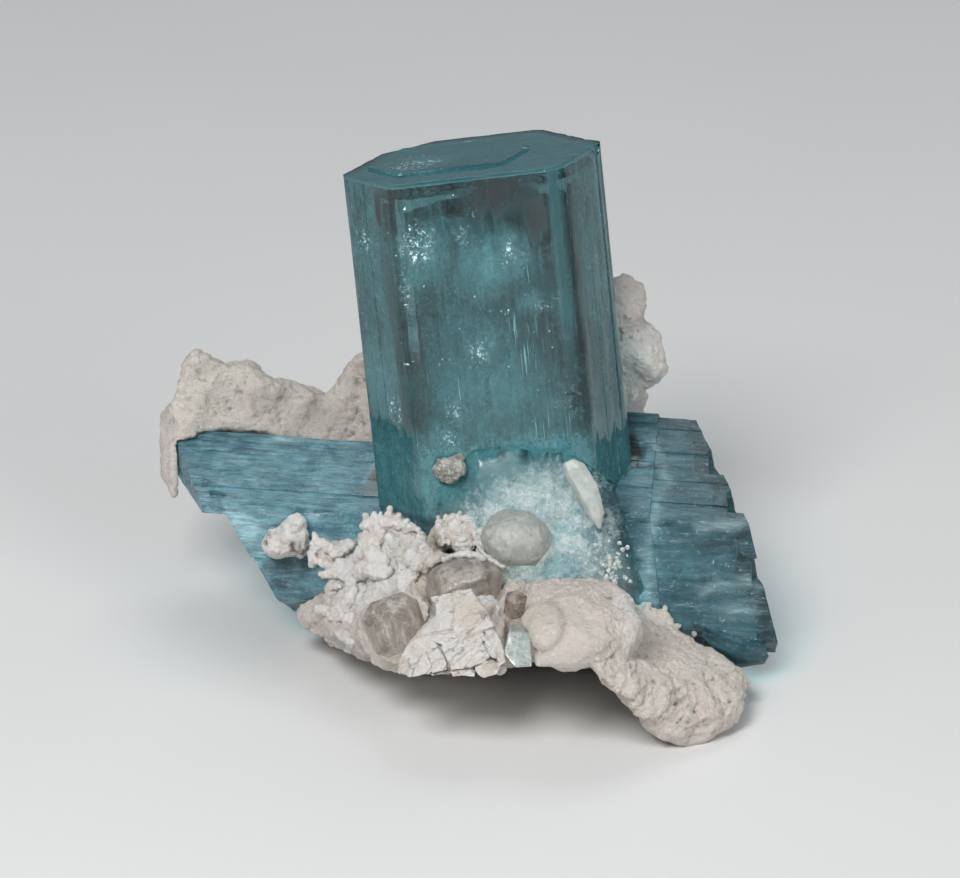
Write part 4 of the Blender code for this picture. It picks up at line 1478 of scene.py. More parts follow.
@dataclass
class Veils(InnerPiece):
    """Thin healed cracks inside the upright prism, each a wavy sheet with ragged edges."""

    seed: int = 14
    count: int = 26
    room: tuple[Point, Point] = ((-7.5, -6.0, -31.0), (8.0, 1.0, -7.0))
    half_width: tuple[float, float] = (1.0, 2.6)
    half_height: tuple[float, float] = (0.8, 3.0)
    tilt: float = 0.5
    steps: int = 14
    thick: float = 0.02
    wave: float = 0.25
    least_depth: float = 0.25
    # Sheets given one by one: middle, half width, half height, tilt and turn, in the prism's axes.
    placed: tuple = (
        ((-6.2, -7.4, -6.6), 2.2, 2.6, 0.2, 0.1), ((-5.0, -6.6, -9.0), 2.4, 2.2, -0.3, 0.3),
        ((0.2, -7.0, -8.6), 3.4, 2.6, 0.25, -0.1), ((3.0, -7.2, -8.0), 1.8, 2.2, -0.2, 0.2),
        ((-10.6, -4.6, -19.6), 1.6, 3.0, 0.1, -0.9), ((-1.0, -6.8, -17.0), 2.0, 1.8, 0.5, 0.1),
        ((6.4, -6.6, -13.8), 1.8, 0.8, 1.0, 0.0), ((-5.6, -6.8, -26.4), 3.0, 1.8, 0.4, 0.1),
        ((6.6, -6.4, -25.0), 2.6, 3.6, 0.1, 0.4), ((10.6, -3.6, -22.0), 1.4, 3.0, 0.2, 1.0),
    )

    def sheet(self, rng: Generator, spec: tuple) -> tuple[ndarray, list, ndarray]:
        """Make one sheet.

        Args:
            rng: Source of its waves.
            spec: Middle, half width, half height, tilt and turn.

        Returns:
            Its points in the part's frame, its faces, and how much each point shows.
        """
        middle, wide, high, tilt, spin = spec
        side = np.linspace(-1.0, 1.0, self.steps)
        across, up = np.meshgrid(side, side)
        flat = np.column_stack([across.ravel() * wide, np.zeros(self.steps**2), up.ravel() * high])
        flat[:, 1] = self.wave * rough(flat, 1.6, int(rng.integers(1000)))
        turn = np.array(Euler((tilt, 0.0, spin)).to_matrix())
        front = flat @ turn.T + np.array(middle)
        back = (flat + np.array((0.0, self.thick, 0.0))) @ turn.T + np.array(middle)
        show = ramp(np.hypot(across, up).ravel(), 1.0, 0.35)
        count, faces = self.steps**2, []
        for row, column in itertools.product(range(self.steps - 1), repeat=2):
            a = row * self.steps + column
            loop = (a, a + 1, a + self.steps + 1, a + self.steps)
            faces += [loop, tuple(count + index for index in reversed(loop))]
        last = self.steps - 1
        rim = list(range(last)) + [row * self.steps + last for row in range(last)]
        rim += [last * self.steps + column for column in range(last, 0, -1)]
        rim += [row * self.steps for row in range(last, 0, -1)]
        pairs = zip(rim, rim[1:] + rim[:1])
        faces += [(second, first, first + count, second + count) for first, second in pairs]
        return from_upright(np.concatenate([front, back])), faces, np.concatenate([show, show])

    def build(self) -> Shape:
        """Make all sheets, those listed and the others.

        Returns:
            The sheets.
        """
        rng = np.random.default_rng(self.seed)
        specs = list(self.placed)
        for _ in range(self.count):
            middle = rng.uniform(*self.room)
            wide, high = rng.uniform(*self.half_width), rng.uniform(*self.half_height)
            specs.append((middle, wide, high, rng.normal(0.0, self.tilt), rng.normal(0.0, self.tilt)))
        sheets = [self.sheet(rng, spec) for spec in specs]
        shape = Shape.from_parts("healed_veils", [(points, faces) for points, faces, _ in sheets])
        shape.place(self.interior.kept(shape.points(), self.least_depth))
        shape.mark("fade", np.concatenate([show for _, _, show in sheets]))
        shape.soften()
        return shape


@dataclass
class Sparks(InnerPiece):
    """Tiny bright crack faces in clusters under the faces of the upright prism and in the lying ones."""

    seed: int = 5
    spread: float = 0.6
    smallest: float = 0.035
    growth: float = 0.17
    # Front, left and right face of the upright prism: a place on it, sideways and forth, and its slope.
    front_faces: tuple = ((-8.3, -9.2, 0.0753), (-8.3, -9.2, -1.466), (8.55, -7.93, 2.076))
    behind: float = 0.22
    under_top: float = 0.25
    least_depth: float = 0.03
    clusters: tuple = (
        ((-6.4, -8.0, -6.4), (1.9, 0.9, 2.4), 150), ((-7.7, -7.6, -10.6), (0.5, 0.8, 2.2), 50),
        ((2.7, -8.0, -8.4), (0.8, 0.7, 0.8), 55), ((-0.4, -7.8, -3.4), (0.5, 0.5, 0.9), 18),
        ((-1.9, -7.8, -6.2), (0.5, 0.5, 1.1), 22), ((-11.2, -4.6, -6.0), (0.6, 0.8, 1.2), 45),
        ((-10.6, -5.2, -9.4), (0.5, 0.7, 0.9), 24), ((-9.8, -6.0, -23.4), (0.7, 0.8, 1.1), 50),
        ((-4.3, -7.6, -23.5), (0.6, 0.7, 0.9), 40), ((5.6, -7.4, -14.0), (1.1, 0.5, 0.3), 34),
        ((1.9, -7.8, -14.4), (0.3, 0.5, 0.6), 16), ((-1.2, -7.6, -17.8), (0.9, 0.7, 1.2), 40),
        ((10.7, -4.8, -20.4), (0.4, 0.7, 0.9), 24), ((10.4, -5.0, -12.6), (0.2, 0.5, 2.4), 24),
        ((4.6, -7.4, -28.0), (0.4, 0.4, 0.5), 16), ((-5.5, -7.6, -26.4), (1.7, 0.8, 1.5), 44),
        ((-0.9, -7.9, -28.4), (1.2, 0.3, 0.6), 60), ((11.2, -2.6, -10.6), (0.12, 0.4, 1.3), 40),
        ((-4.5, 0.0, -0.7), (3.6, 3.4, 0.3), 120), ((-5.4, 2.2, -0.35), (2.6, 1.1, 0.1), 110),
        ((0.0, -7.2, -15.0), (10.0, 1.4, 12.0), 300), ((0.0, -2.0, -15.0), (10.0, 6.0, 13.0), 200),
    )
    lying_clusters: tuple = (
        ((-24.0, 3.0, 15.4), (3.0, 2.0, 1.2), 120), ((-20.0, 8.0, 18.2), (8.0, 6.0, 0.8), 160),
        ((20.0, 2.0, 15.0), (6.0, 6.0, 1.2), 160), ((24.6, -4.2, 10.0), (3.0, 1.2, 2.4), 120),
        ((7.0, -8.6, 18.4), (6.0, 2.2, 3.6), 160),
    )

    def flake(self, rng: Generator, centre: ndarray, size: float) -> Solid:
        """Make one thin four-sided flake.

        Args:
            rng: Source of its shape and tilt.
            centre: Its middle.
            size: Its half width.

        Returns:
            Its points and faces.
        """
        turn = np.array(Euler(rng.uniform(-math.pi, math.pi, 3)).to_matrix())
        corners = np.array([(-1, -0.5, 0), (0.9, -0.7, 0), (0.2, 1, 0), (0.0, 0.0, 0.12)])
        stretch = size * np.array((1.0, rng.uniform(0.35, 1.0), 1.0))
        return (corners * stretch) @ turn.T + centre, [(0, 1, 3), (1, 2, 3), (2, 0, 3), (2, 1, 0)]

    def under_faces(self, seats: ndarray) -> ndarray:
        """Keep flakes of the upright prism just behind its front faces and under its top.

        Args:
            seats: Their middles in the prism's axes, one a row.

        Returns:
            The middles, moved where it was needed.
        """
        moved = seats.copy()
        for across, forth, slope in self.front_faces:
            moved[:, 1] = np.maximum(moved[:, 1], forth + (seats[:, 0] - across) * slope + self.behind)
        moved[:, 2] = np.minimum(moved[:, 2], -self.under_top)
        return moved

    def scatter(self, clusters: tuple, upright: bool) -> list[Solid]:
        """Fill clusters with flakes, leaving out those that would reach the surface.

        Args:
            clusters: Centre, spread and number of flakes of each.
            upright: Whether the places are in the upright prism's axes.

        Returns:
            The flakes.
        """
        rng = np.random.default_rng(self.seed)
        made = []
        for centre, spread, count in clusters:
            drawn = rng.normal(centre, np.array(spread) * self.spread, (count, 3))
            for seat in from_upright(self.under_faces(drawn)) if upright else drawn:
                flake = self.flake(rng, seat, self.smallest + self.growth * rng.random() ** 4)
                if self.interior.holds(flake[0], self.least_depth):
                    made.append(flake)
        return made

    def build(self) -> Shape:
        """Make all flakes, and keep on each how strongly it glows, drawn at random, painted light.

        Returns:
            The flakes.
        """
        flakes = self.scatter(self.clusters, True) + self.scatter(self.lying_clusters, False)
        shape = Shape.from_parts("inner_sparks", flakes)
        glow = np.random.default_rng(self.seed).random(len(flakes)) ** 3.0
        shape.mark("glow", np.repeat(glow, 4))
        return shape


@dataclass
class GrowthThreads(InnerPiece):
    """Fine tubes along the crystals' axes."""

    seed: int = 9
    upright_count: int = 150
    lying_count: int = 120
    lying_middles: tuple[Point, Point] = ((-20.0, 6.5, 15.0), (20.0, 2.0, 12.0))
    least_depth: float = 0.08

    def thread(self, start: ndarray, end: ndarray, width: float) -> Solid:
        """Make one three-sided needle.

        Args:
            start: One end.
            end: The other.
            width: Its thickness.

        Returns:
            Its points and faces.
        """
        run = end - start
        side = np.cross(run, (0.3, 1.0, 0.2))
        side = side / np.linalg.norm(side) * width
        up = np.cross(run, side)
        up = up / np.linalg.norm(up) * width
        ring = [side, -0.5 * side + 0.87 * up, -0.5 * side - 0.87 * up]
        middle = (start + end) / 2.0
        points = np.array([start, *[middle + corner for corner in ring], end])
        return points, [(0, 2, 1), (0, 3, 2), (0, 1, 3), (4, 1, 2), (4, 2, 3), (4, 3, 1)]

    def upright(self, rng: Generator) -> list[Solid]:
        """Make the needles of the upright prism.

        Args:
            rng: Source of their places.

        Returns:
            The needles.
        """
        made = []
        for _ in range(self.upright_count):
            x, y, z = rng.uniform(-9.5, 10.5), rng.uniform(-7.6, 4.0), rng.uniform(-30.0, -3.0)
            if rng.random() < 0.4:
                x, y, z = rng.normal(3.8, 1.2), rng.uniform(-8.0, -6.0), rng.uniform(-25.0, -13.0)
            length = rng.uniform(1.2, 6.0)
            ends = from_upright(np.array([(x, y, z), (x, y, z - length)]))
            made.append(self.thread(ends[0], ends[1], rng.uniform(0.02, 0.07)))
        return made

    def lying(self, rng: Generator) -> list[Solid]:
        """Make the needles of the lying prisms, left and right in turn.

        Args:
            rng: Source of their places.

        Returns:
            The needles.
        """
        made = []
        heading = np.array(lying_heading())
        for index in range(self.lying_count):
            start = np.array(self.lying_middles[index % 2]) + rng.uniform((-6.0, -5.0, -2.6), (5.0, 5.0, 2.0))
            made.append(self.thread(start, start + heading * rng.uniform(1.0, 5.0), rng.uniform(0.02, 0.08)))
        return made

    def build(self) -> Shape:
        """Make all needles that lie inside.

        Returns:
            The needles.
        """
        rng = np.random.default_rng(self.seed)
        drawn = self.upright(rng) + self.lying(rng)
        needles = [needle for needle in drawn if self.interior.holds(needle[0], self.least_depth)]
        return Shape.from_parts("growth_threads", needles)


@dataclass
class MatrixRock(Piece):
    """The feldspar rock: lumpy back, wing and knob, smooth cream part and cellular front foot."""

    voxel: float = 0.36
    faces: int = 188000
    fine_front: float = -6.0  # nearer than this the mesh is twice as fine
    lump: float = 0.34
    foot_middle: Point = (21.0, -15.5, 5.6)
    foot_radii: Point = (9.0, 9.5, 7.4)
    cream_seat: tuple = ((8.4, -23.0, 13.0), (6.6, 6.0, 4.6), 0.35)  # middle, radii and edge
    dome_middle: Point = (7.3, -23.6, 14.3)
    dome_radius: float = 2.5
    stains: tuple = (((17.3, 14.8, 22.6), 1.3), ((-2.6, -8.0, 16.2), 1.6), ((14.0, -19.0, 14.6), 1.1))
    # Whiter spots, middle and radii; the third lightens rock that lies in the blocks' shade, painted light.
    pale_and_painted_light_spots: tuple = (
        ((-9.4, -7.0, 12.6), (6.4, 6.0, 7.0)), ((16.0, -18.0, 12.0), (3.0, 6.0, 4.0)),
        ((2.4, -18.5, 14.5), (2.6, 3.5, 2.4)), ((17.0, 16.0, 22.0), (8.0, 8.0, 12.0)),
    )
    # Places where the rock sinks to make room for the blocks and the curls: middle, radii and edge.
    block_seat: tuple = ((-0.8, -23.0, 12.0), (6.6, 6.0, 5.0), 0.3)
    curl_seat: tuple = ((-9.0, -7.4, 13.0), (6.6, 5.4, 6.4), 0.4)

    def refine_front(self, shape: Shape) -> None:
        """Split the faces nearest the front once more.

        Args:
            shape: The rock.
        """
        bm = bmesh.new()
        bm.from_mesh(shape.obj.data)
        fine = [face for face in bm.faces if face.calc_center_median().y < self.fine_front * MM]
        edges = list({edge for face in fine for edge in face.edges})
        bmesh.ops.subdivide_edges(bm, edges=edges, cuts=1, use_grid_fill=True)
        bmesh.ops.triangulate(bm, faces=bm.faces)
        bm.to_mesh(shape.obj.data)
        bm.free()

    def back_and_wing(self, points: ndarray) -> tuple[ndarray, ndarray]:
        """Work out the relief of the lumpy sugar-grained rock.

        Args:
            points: Points, one a row.

        Returns:
            The height of each point, and its painted shade in cracks and low spots.
        """
        curled = swirled(points, 0.5, 1.6, 5)
        crack = ramp(1.0 - np.abs(rough(curled, 2.1, 85, 5, 0.6)) * 3.2, 0.8, 1.0)
        nearest, _ = grains(curled, (0.95, 0.95, 0.75), 61)
        height = self.lump * rough(points, 2.6, 81, 6, 0.62) + 0.16 * ramp(nearest, 0.8, 0.1) - 0.18 * crack
        height += 0.22 * rough(points, 0.55, 88, 3, 0.7)
        return height, 0.22 * crack + 0.18 * ramp(height, -0.2, -0.55)

    def foot(self, points: ndarray) -> tuple[ndarray, ndarray]:
        """Work out the relief of the pitted front foot.

        Args:
            points: Points, one a row.

        Returns:
            The height of each point, and its painted shade in pits and between ridges.
        """
        curled = swirled(points, 0.6, 1.5, 15)
        ridge = 1.0 - 2.4 * np.abs(rough(curled, (3.6, 2.2, 1.0), 95, 4, 0.6))
        nearest, tone = grains(curled, (1.05, 1.0, 0.62), 91)
        pit = ramp(nearest, 0.42, 0.05) * ramp(tone, 0.45, 0.6)
        height = 0.36 * ridge - 0.34 * pit + 0.24 * rough(points, 0.55, 96, 3, 0.7)
        height += 0.25 * rough(points, 2.4, 97, 3)
        return height, 0.55 * pit + 0.4 * ramp(ridge, -0.1, -0.9)

    def cream_part(self, points: ndarray, share: ndarray) -> tuple[ndarray, ...]:
        """Work out the relief of the smooth cream rock with its small ringed dome.

        Args:
            points: Points, one a row.
            share: How far each point belongs to that rock.

        Returns:
            The height of each point, its painted shade in folds, how far it lies on the dome and in its groove.
        """
        folds = rough(shaken(points, 0.4, 1.3, 99), (0.9, 2.0, 6.0), 101, 4, 0.6)
        beds = rough(points, (5.0, 3.0, 0.55), 105, 3, 0.6)
        right = ramp(points[:, 0], 9.5, 13.0)
        cream = 0.26 * folds * right + 0.13 * beds * (1.0 - right) + 0.14 * rough(points, 0.5, 103, 3, 0.7)
        reach = np.linalg.norm((points - np.array(self.dome_middle)) * np.array((1.0, 0.6, 1.0)), axis=1)
        dome = ramp(reach, self.dome_radius, 0.2)
        groove = np.exp(-(((reach - self.dome_radius) / 0.3) ** 2)) * share
        rings = 0.05 * np.sin(reach * 5.2) * (reach < self.dome_radius)
        hollow_shade = share * 0.35 * ramp(folds, -0.25, -0.6) * right
        return share * (cream + 0.28 * dome + rings), hollow_shade, dome, groove

    def build(self) -> Shape:
        """Make the rock with its relief, and keep on it its painted shade in hollows, its stains and its pale
        spots, one of which is painted light.

        Returns:
            The rock.
        """
        shape = Shape.from_node("feldspar_rock", "feldspar_matrix")
        shape.voxel(self.voxel)
        self.refine_front(shape)
        shape.relax(2)
        points = shape.points()
        ragged = shaken(points, 0.7, 1.6, 77)
        foot = near(ragged, self.foot_middle, self.foot_radii, 0.25)
        smooth_part = near(ragged, *self.cream_seat) * (1.0 - foot)
        plain = (1.0 - foot) * (1.0 - smooth_part)
        plain_height, plain_shade = self.back_and_wing(points)
        foot_height, foot_shade = self.foot(points)
        cream_height, cream_shade, dome, groove = self.cream_part(points, smooth_part)
        sunk = near(points, *self.block_seat) * (1.0 - smooth_part)
        height = plain * plain_height + foot * foot_height + cream_height - 0.25 * groove
        height -= 0.75 * sunk + 0.35 * near(points, *self.curl_seat)
        low = ramp(points[:, 2], 0.0, 1.2)
        shape.raise_by(height * (0.25 + 0.75 * low))
        placed = shape.points()
        placed[:, 2] = np.maximum(placed[:, 2], 0.0)
        shape.place(placed)
        # Painted shade in cracks, pits, folds, the dome's groove, the sunk seat and wherever the surface lies
        # under its smoothed self.
        hollow_shade = plain * plain_shade + foot * foot_shade + 0.5 * sunk + 0.6 * groove + cream_shade
        hollow_shade = 0.5 * hollow_shade + 0.7 * ramp(shape.sunken(24), 0.05, 0.36) * low
        shape.mark("hollow_shade", np.clip(hollow_shade, 0.0, 1.0))
        shape.mark("stain", within(ragged, self.stains, 0.8))
        # Whiter in the pale spots, the third of them painted light.
        shape.mark("white", within(ragged, self.pale_and_painted_light_spots, 0.6))
        shape.mark("warm", 0.35 * dome * smooth_part)
        shape.apply("DECIMATE", {"ratio": min(1.0, self.faces / len(shape.obj.data.polygons))})
        shape.soften()
        return shape


def ball(centre: ndarray, radius: float) -> Solid:
    """Make a round lump to be joined with others.

    Args:
        centre: Its middle.
        radius: Its radius.

    Returns:
        Its points and faces.
    """
    bm = bmesh.new()
    bmesh.ops.create_icosphere(bm, subdivisions=2, radius=radius)
    points = np.array([vert.co[:] for vert in bm.verts]) + centre
    faces = [tuple(vert.index for vert in face.verts) for face in bm.faces]
    bm.free()
    return points, faces


@dataclass
class SugarKnobs(Piece):
    """White curled feldspar in front of the left lying prism."""

    voxel: float = 0.13
    spacing: float = 0.3
    seed: int = 3
    crust_count: int = 90
    tip_radius: float = 0.2
    brown_spot: tuple = ((-2.8, -8.2, 16.2), (1.3, 2.4, 1.5))
    strands: tuple = ()  # places along each curl, with its half thickness there
    spikes: tuple = ()  # tip, foot and half thickness of each

    def strand(self, knots: tuple) -> list[Solid]:
        """Make one curl as a chain of balls.

        Args:
            knots: Places along the curl, each with its half thickness.

        Returns:
            The balls.
        """
        made = []
        for first, second in zip(np.array(knots[:-1]), np.array(knots[1:])):
            count = max(1, math.ceil(float(np.linalg.norm(second[:3] - first[:3])) / self.spacing))
            for step in range(count + 1):
                knot = first + (second - first) * step / count
                made.append(ball(knot[:3], float(knot[3])))
        return made

    def lumps(self) -> list[Solid]:
        """Lay the balls of all curls and spikes, and the crumbs behind them.

        Returns:
            The balls.
        """
        made = []
        for knots in self.strands:
            made += self.strand(knots)
        for tip, foot, radius in self.spikes:
            made += self.strand(((*tip, self.tip_radius), (*foot, radius)))
        rng = np.random.default_rng(self.seed)
        for _ in range(self.crust_count):
            x, z = rng.uniform(-2.5, 1.9), rng.uniform(16.5, 18.8)
            seat = np.array((x, -6.5 - (18.6 - z) * 1.5 + rng.normal(0.0, 0.12), z - 0.25 * abs(x)))
            made.append(ball(seat, rng.uniform(0.16, 0.42)))
        return made

    def build(self) -> Shape:
        """Join the curls and give them their grain.

        Returns:
            The curls.
        """
        shape = Shape.from_parts("feldspar_curls", self.lumps())
        shape.voxel(self.voxel)
        shape.relax(1)
        points = shape.points()
        nearest, _ = grains(points, 0.62, 121)
        height = 0.24 * rough(points, 0.95, 111, 4, 0.66) + 0.2 * ramp(nearest, 0.75, 0.1)
        shape.raise_by(height)
        # Painted shade between the curls, wherever the surface lies under its smoothed self.
        shape.mark("hollow_shade", 0.75 * ramp(shape.sunken(30), 0.06, 0.34))
        shape.mark("stain", near(shaken(points, 0.4, 0.8, 113), *self.brown_spot, 0.6))
        return shape


@dataclass
class CleavageBlocks(Piece):
    """Blocky feldspar at the front, split along cleavage planes."""

    voxel: float = 0.09
    gap: float = 0.14
    cleavage_deg: float = -38.0
    warm_spots: tuple = (((0.7, -21.8, 14.6), (2.2, 3.0, 2.2)), ((2.4, -25.6, 10.0), (1.4, 1.6, 1.0)))
    blocks: tuple = ()  # step from each block's front to its back, then the corners of its front

    def block(self, outline: list[Point], depth: Point) -> bmesh.types.BMesh:
        """Make one block from its front outline.

        Args:
            outline: Corners of its front.
            depth: Step from the front to the back.

        Returns:
            The closed block, in metres.
        """
        rim = np.array(outline)
        middle = rim.mean(axis=0)
        inward = middle - rim
        rim = rim + inward / np.linalg.norm(inward, axis=1)[:, None] * self.gap / 2.0
        bulge = middle - np.array(depth) / np.linalg.norm(depth) * 0.12
        bm = bmesh.new()
        front = [bm.verts.new(Vector(corner) * MM) for corner in rim]
        back = [bm.verts.new(Vector(middle + (corner - middle) * 0.9 + np.array(depth)) * MM) for corner in rim]
        crown = bm.verts.new(Vector(bulge) * MM)
        base = bm.verts.new(Vector(middle + np.array(depth)) * MM)
        for index in range(len(front)):
            after = (index + 1) % len(front)
            bm.faces.new((crown, front[index], front[after]))
            bm.faces.new((base, back[after], back[index]))
            bm.faces.new((front[index], back[index], back[after], front[after]))
        bmesh.ops.recalc_face_normals(bm, faces=bm.faces)
        return bm

    def build(self) -> Shape:
        """Make all blocks with worn edges, cleavage steps and grain.

        Returns:
            The blocks.
        """
        whole = bmesh.new()
        for depth, *outline in self.blocks:
            part = self.block(outline, depth)
            mesh = bpy.data.meshes.new("block")
            part.to_mesh(mesh)
            part.free()
            whole.from_mesh(mesh)
            bpy.data.meshes.remove(mesh)
        shape = Shape.from_bmesh("cleavage_blocks", whole)
        shape.voxel(self.voxel)
        shape.relax(1)
        points = shape.points()
        leaning = points @ np.array(Matrix.Rotation(math.radians(self.cleavage_deg), 3, "Y"))
        flaws = rough(leaning, (3.2, 1.2, 0.45), 131, 4, 0.6)
        steps = np.round(flaws * 5.0) / 5.0
        height = 0.14 * steps + 0.05 * rough(points, 0.35, 133, 3, 0.6) + 0.1 * rough(points, 1.5, 135)
        shape.raise_by(height)
        cracked = np.exp(-((rough(leaning, (3.4, 1.6, 0.8), 137, 3, 0.6) / 0.035) ** 2))
        warm = within(points, self.warm_spots, 0.6)
        # Dark crack lines, and painted shade on the lower cleavage steps.
        hollow_shade = 0.6 * cracked * (1.0 - warm) + 0.3 * ramp(flaws, -0.25, -0.6)
        shape.mark("hollow_shade", np.clip(hollow_shade, 0.0, 1.0))
        shape.mark("warm", 0.5 * warm)
        return shape


@dataclass
class Grain:
    """A smaller grain of another mineral, made finer from its CAD solid."""

    name: str
    node: str
    slot: str
    voxel: float | None  # none keeps the solid's own faces
    relief: float
    size: float
    seed: int
    drawn: float = 1.0
    worn: int = 1
    bevel: float = 0.1
    sharp_deg: float = 25.0
    rounding: float = 0.0
    sink: Point = (0.0, 0.0, 0.0)

    def rounded(self, points: ndarray) -> ndarray:
        """Draw points towards the oval that fills the grain's box.

        Args:
            points: Points, one a row.

        Returns:
            The moved points.
        """
        middle = (points.min(axis=0) + points.max(axis=0)) / 2.0
        half = (points.max(axis=0) - points.min(axis=0)) / 2.0
        reach = (points - middle) / half
        oval = reach / np.linalg.norm(reach, axis=1)[:, None]
        return middle + half * (reach * (1.0 - self.rounding) + oval * self.rounding)

    def dress(self, material: Material) -> None:
        """Build the grain and give it its finish.

        Args:
            material: The finish.
        """
        shape = Shape.from_node(self.name, self.node)
        if self.voxel is None:
            bevel = {"width": self.bevel * MM, "segments": 2, "limit_method": "ANGLE", "angle_limit": 0.35}
            shape.apply("BEVEL", bevel)
            shape.divide(3)
            shape.harden(self.sharp_deg)
        else:
            shape.voxel(self.voxel)
            shape.relax(self.worn)
        points = self.rounded(shape.points()) + np.array(self.sink)
        shape.place(points)
        stretched = (self.size, self.size, self.size * self.drawn)
        height = self.relief * rough(points, stretched, self.seed, 4, 0.6)
        shape.raise_by(height)
        # Marked where the relief dips: painted shade on the feldspar tuft, browner on the crust.
        shape.mark("hollow_shade", ramp(height, 0.0, -0.6 * self.relief))
        shape.wear(material, self.slot, self.node)


@dataclass
class LooseGrains:
    """Tiny glassy grains: the sugar beside the etched mass, the grey patch in the curls and a pinhead."""

    seed: int = 37
    sugar_middle: Point = (14.7, -9.8, 13.4)
    sugar_spread: Point = (0.9, 0.5, 1.4)
    sugar_count: int = 90
    relief: float = 0.18
    patch: tuple = (
        ((-7.3, -7.0, 16.2), 0.5), ((-6.8, -7.4, 15.6), 0.7), ((-6.3, -8.0, 15.0), 0.75),
        ((-6.0, -8.8, 14.3), 0.7), ((-5.9, -9.6, 13.7), 0.5),
    )
    pinhead: tuple = ((23.1, -7.0, 5.7), 0.32)

    def crumb(self, rng: Generator, centre: ndarray, size: float) -> Solid:
        """Make one small block with uneven corners.

        Args:
            rng: Source of its shape.
            centre: Its middle.
            size: Its half width.

        Returns:
            Its points and faces.
        """
        corners = np.array(list(itertools.product((-1.0, 1.0), repeat=3))) * rng.uniform(0.6, 1.2, (8, 1))
        turn = np.array(Euler(rng.uniform(-math.pi, math.pi, 3)).to_matrix())
        faces = [(0, 1, 3, 2), (4, 6, 7, 5), (0, 4, 5, 1), (2, 3, 7, 6), (0, 2, 6, 4), (1, 5, 7, 3)]
        return corners * size @ turn.T + centre, faces

    def dress(self, material: Material) -> None:
        """Build the grains as one piece and give it its finish.

        Args:
            material: The finish.
        """
        rng = np.random.default_rng(self.seed)
        parts = []
        for _ in range(self.sugar_count):
            seat = rng.normal(self.sugar_middle, self.sugar_spread)
            parts.append(self.crumb(rng, seat, rng.uniform(0.06, 0.2)))
        for middle, radius in (*self.patch, self.pinhead):
            points, faces = ball(np.zeros(3), radius)
            bumps = 1.0 + self.relief * rough(points + np.array(middle), 0.5, 41)[:, None]
            parts.append((points * bumps + np.array(middle), faces))
        Shape.from_parts("glassy_grains", parts).wear(material, "pale_quartz")


@dataclass
class Studio:
    """Floor, soft lamps and camera."""

    target: Point = (1.7, 0.3, 23.8)
    distance: float = 600.0
    elevation_deg: float = 22.0
    lens: float = 225.0
    sensor: float = 36.0
    nearest: float = 10.0
    floor_radius: float = 2600.0
    floor_gap: float = 0.02
    sky: tuple = (0.8, 0.88, 0.95, 1.0)
    sky_strength: float = 0.22
    glass_layers: int = 18
    glass_bounces: int = 9
    bounces: int = 10
    bright_limit: float = 6.0
    # Lamps: turn round the specimen, height angle, distance, width and strength.
    lamps: tuple = (
        (-22.0, 44.0, 560.0, 200.0, 2.35),
        (40.0, 26.0, 640.0, 300.0, 1.0),
        (168.0, 60.0, 600.0, 340.0, 0.7),
    )

    def camera(self) -> None:
        """Set the camera in front of the specimen, looking slightly down."""
        tilt = math.radians(self.elevation_deg)
        forward = Vector((0.0, math.cos(tilt), -math.sin(tilt)))
        data = bpy.data.cameras.new("camera")
        data.lens = self.lens
        data.sensor_width = self.sensor
        data.clip_start = self.nearest * MM
        obj = bpy.data.objects.new("camera", data)
        obj.location = (Vector(self.target) - forward * self.distance) * MM
        obj.rotation_euler = forward.to_track_quat("-Z", "Y").to_euler()
        bpy.context.scene.collection.objects.link(obj)
        bpy.context.scene.camera = obj

    def light(self) -> None:
        """Hang the soft lamps and set the room's own dim light."""
        for index, (around, height, distance, width, strength) in enumerate(self.lamps):
            data = bpy.data.lights.new(f"softbox_{index}", "AREA")
            data.shape = "SQUARE"
            data.size = width * MM
            data.energy = strength
            angle, rise = math.radians(around), math.radians(height)
            flat = math.cos(rise)
            place = Vector((math.sin(angle) * flat, -math.cos(angle) * flat, math.sin(rise)))
            obj = bpy.data.objects.new(data.name, data)
            obj.location = Vector(self.target) * MM + place * distance * MM
            obj.rotation_euler = (-place).to_track_quat("-Z", "Y").to_euler()
            bpy.context.scene.collection.objects.link(obj)
        world = bpy.data.worlds.new("room")
        world.use_nodes = True
        back = world.node_tree.nodes["Background"]
        back.inputs["Color"].default_value = self.sky
        back.inputs["Strength"].default_value = self.sky_strength
        bpy.context.scene.world = world

    def floor(self, finish: FloorFinish) -> None:
        """Lay the pale floor.

        Args:
            finish: The floor's finish.
        """
        bm = bmesh.new()
        bmesh.ops.create_circle(bm, cap_ends=True, radius=self.floor_radius * MM, segments=96)
        shape = Shape.from_bmesh("studio_floor", bm)
        shape.obj.data.materials.append(finish.build())
        shape.obj.location.z = -self.floor_gap * MM

    def build(self) -> None:
        """Set up everything round the specimen."""
        self.camera()
        self.light()
        self.floor(FloorFinish())
        scene = bpy.context.scene
        scene.view_settings.view_transform = "Standard"
        scene.cycles.transparent_max_bounces = self.glass_layers
        scene.cycles.transmission_bounces = self.glass_bounces
        scene.cycles.max_bounces = self.bounces
        scene.cycles.sample_clamp_indirect = self.bright_limit


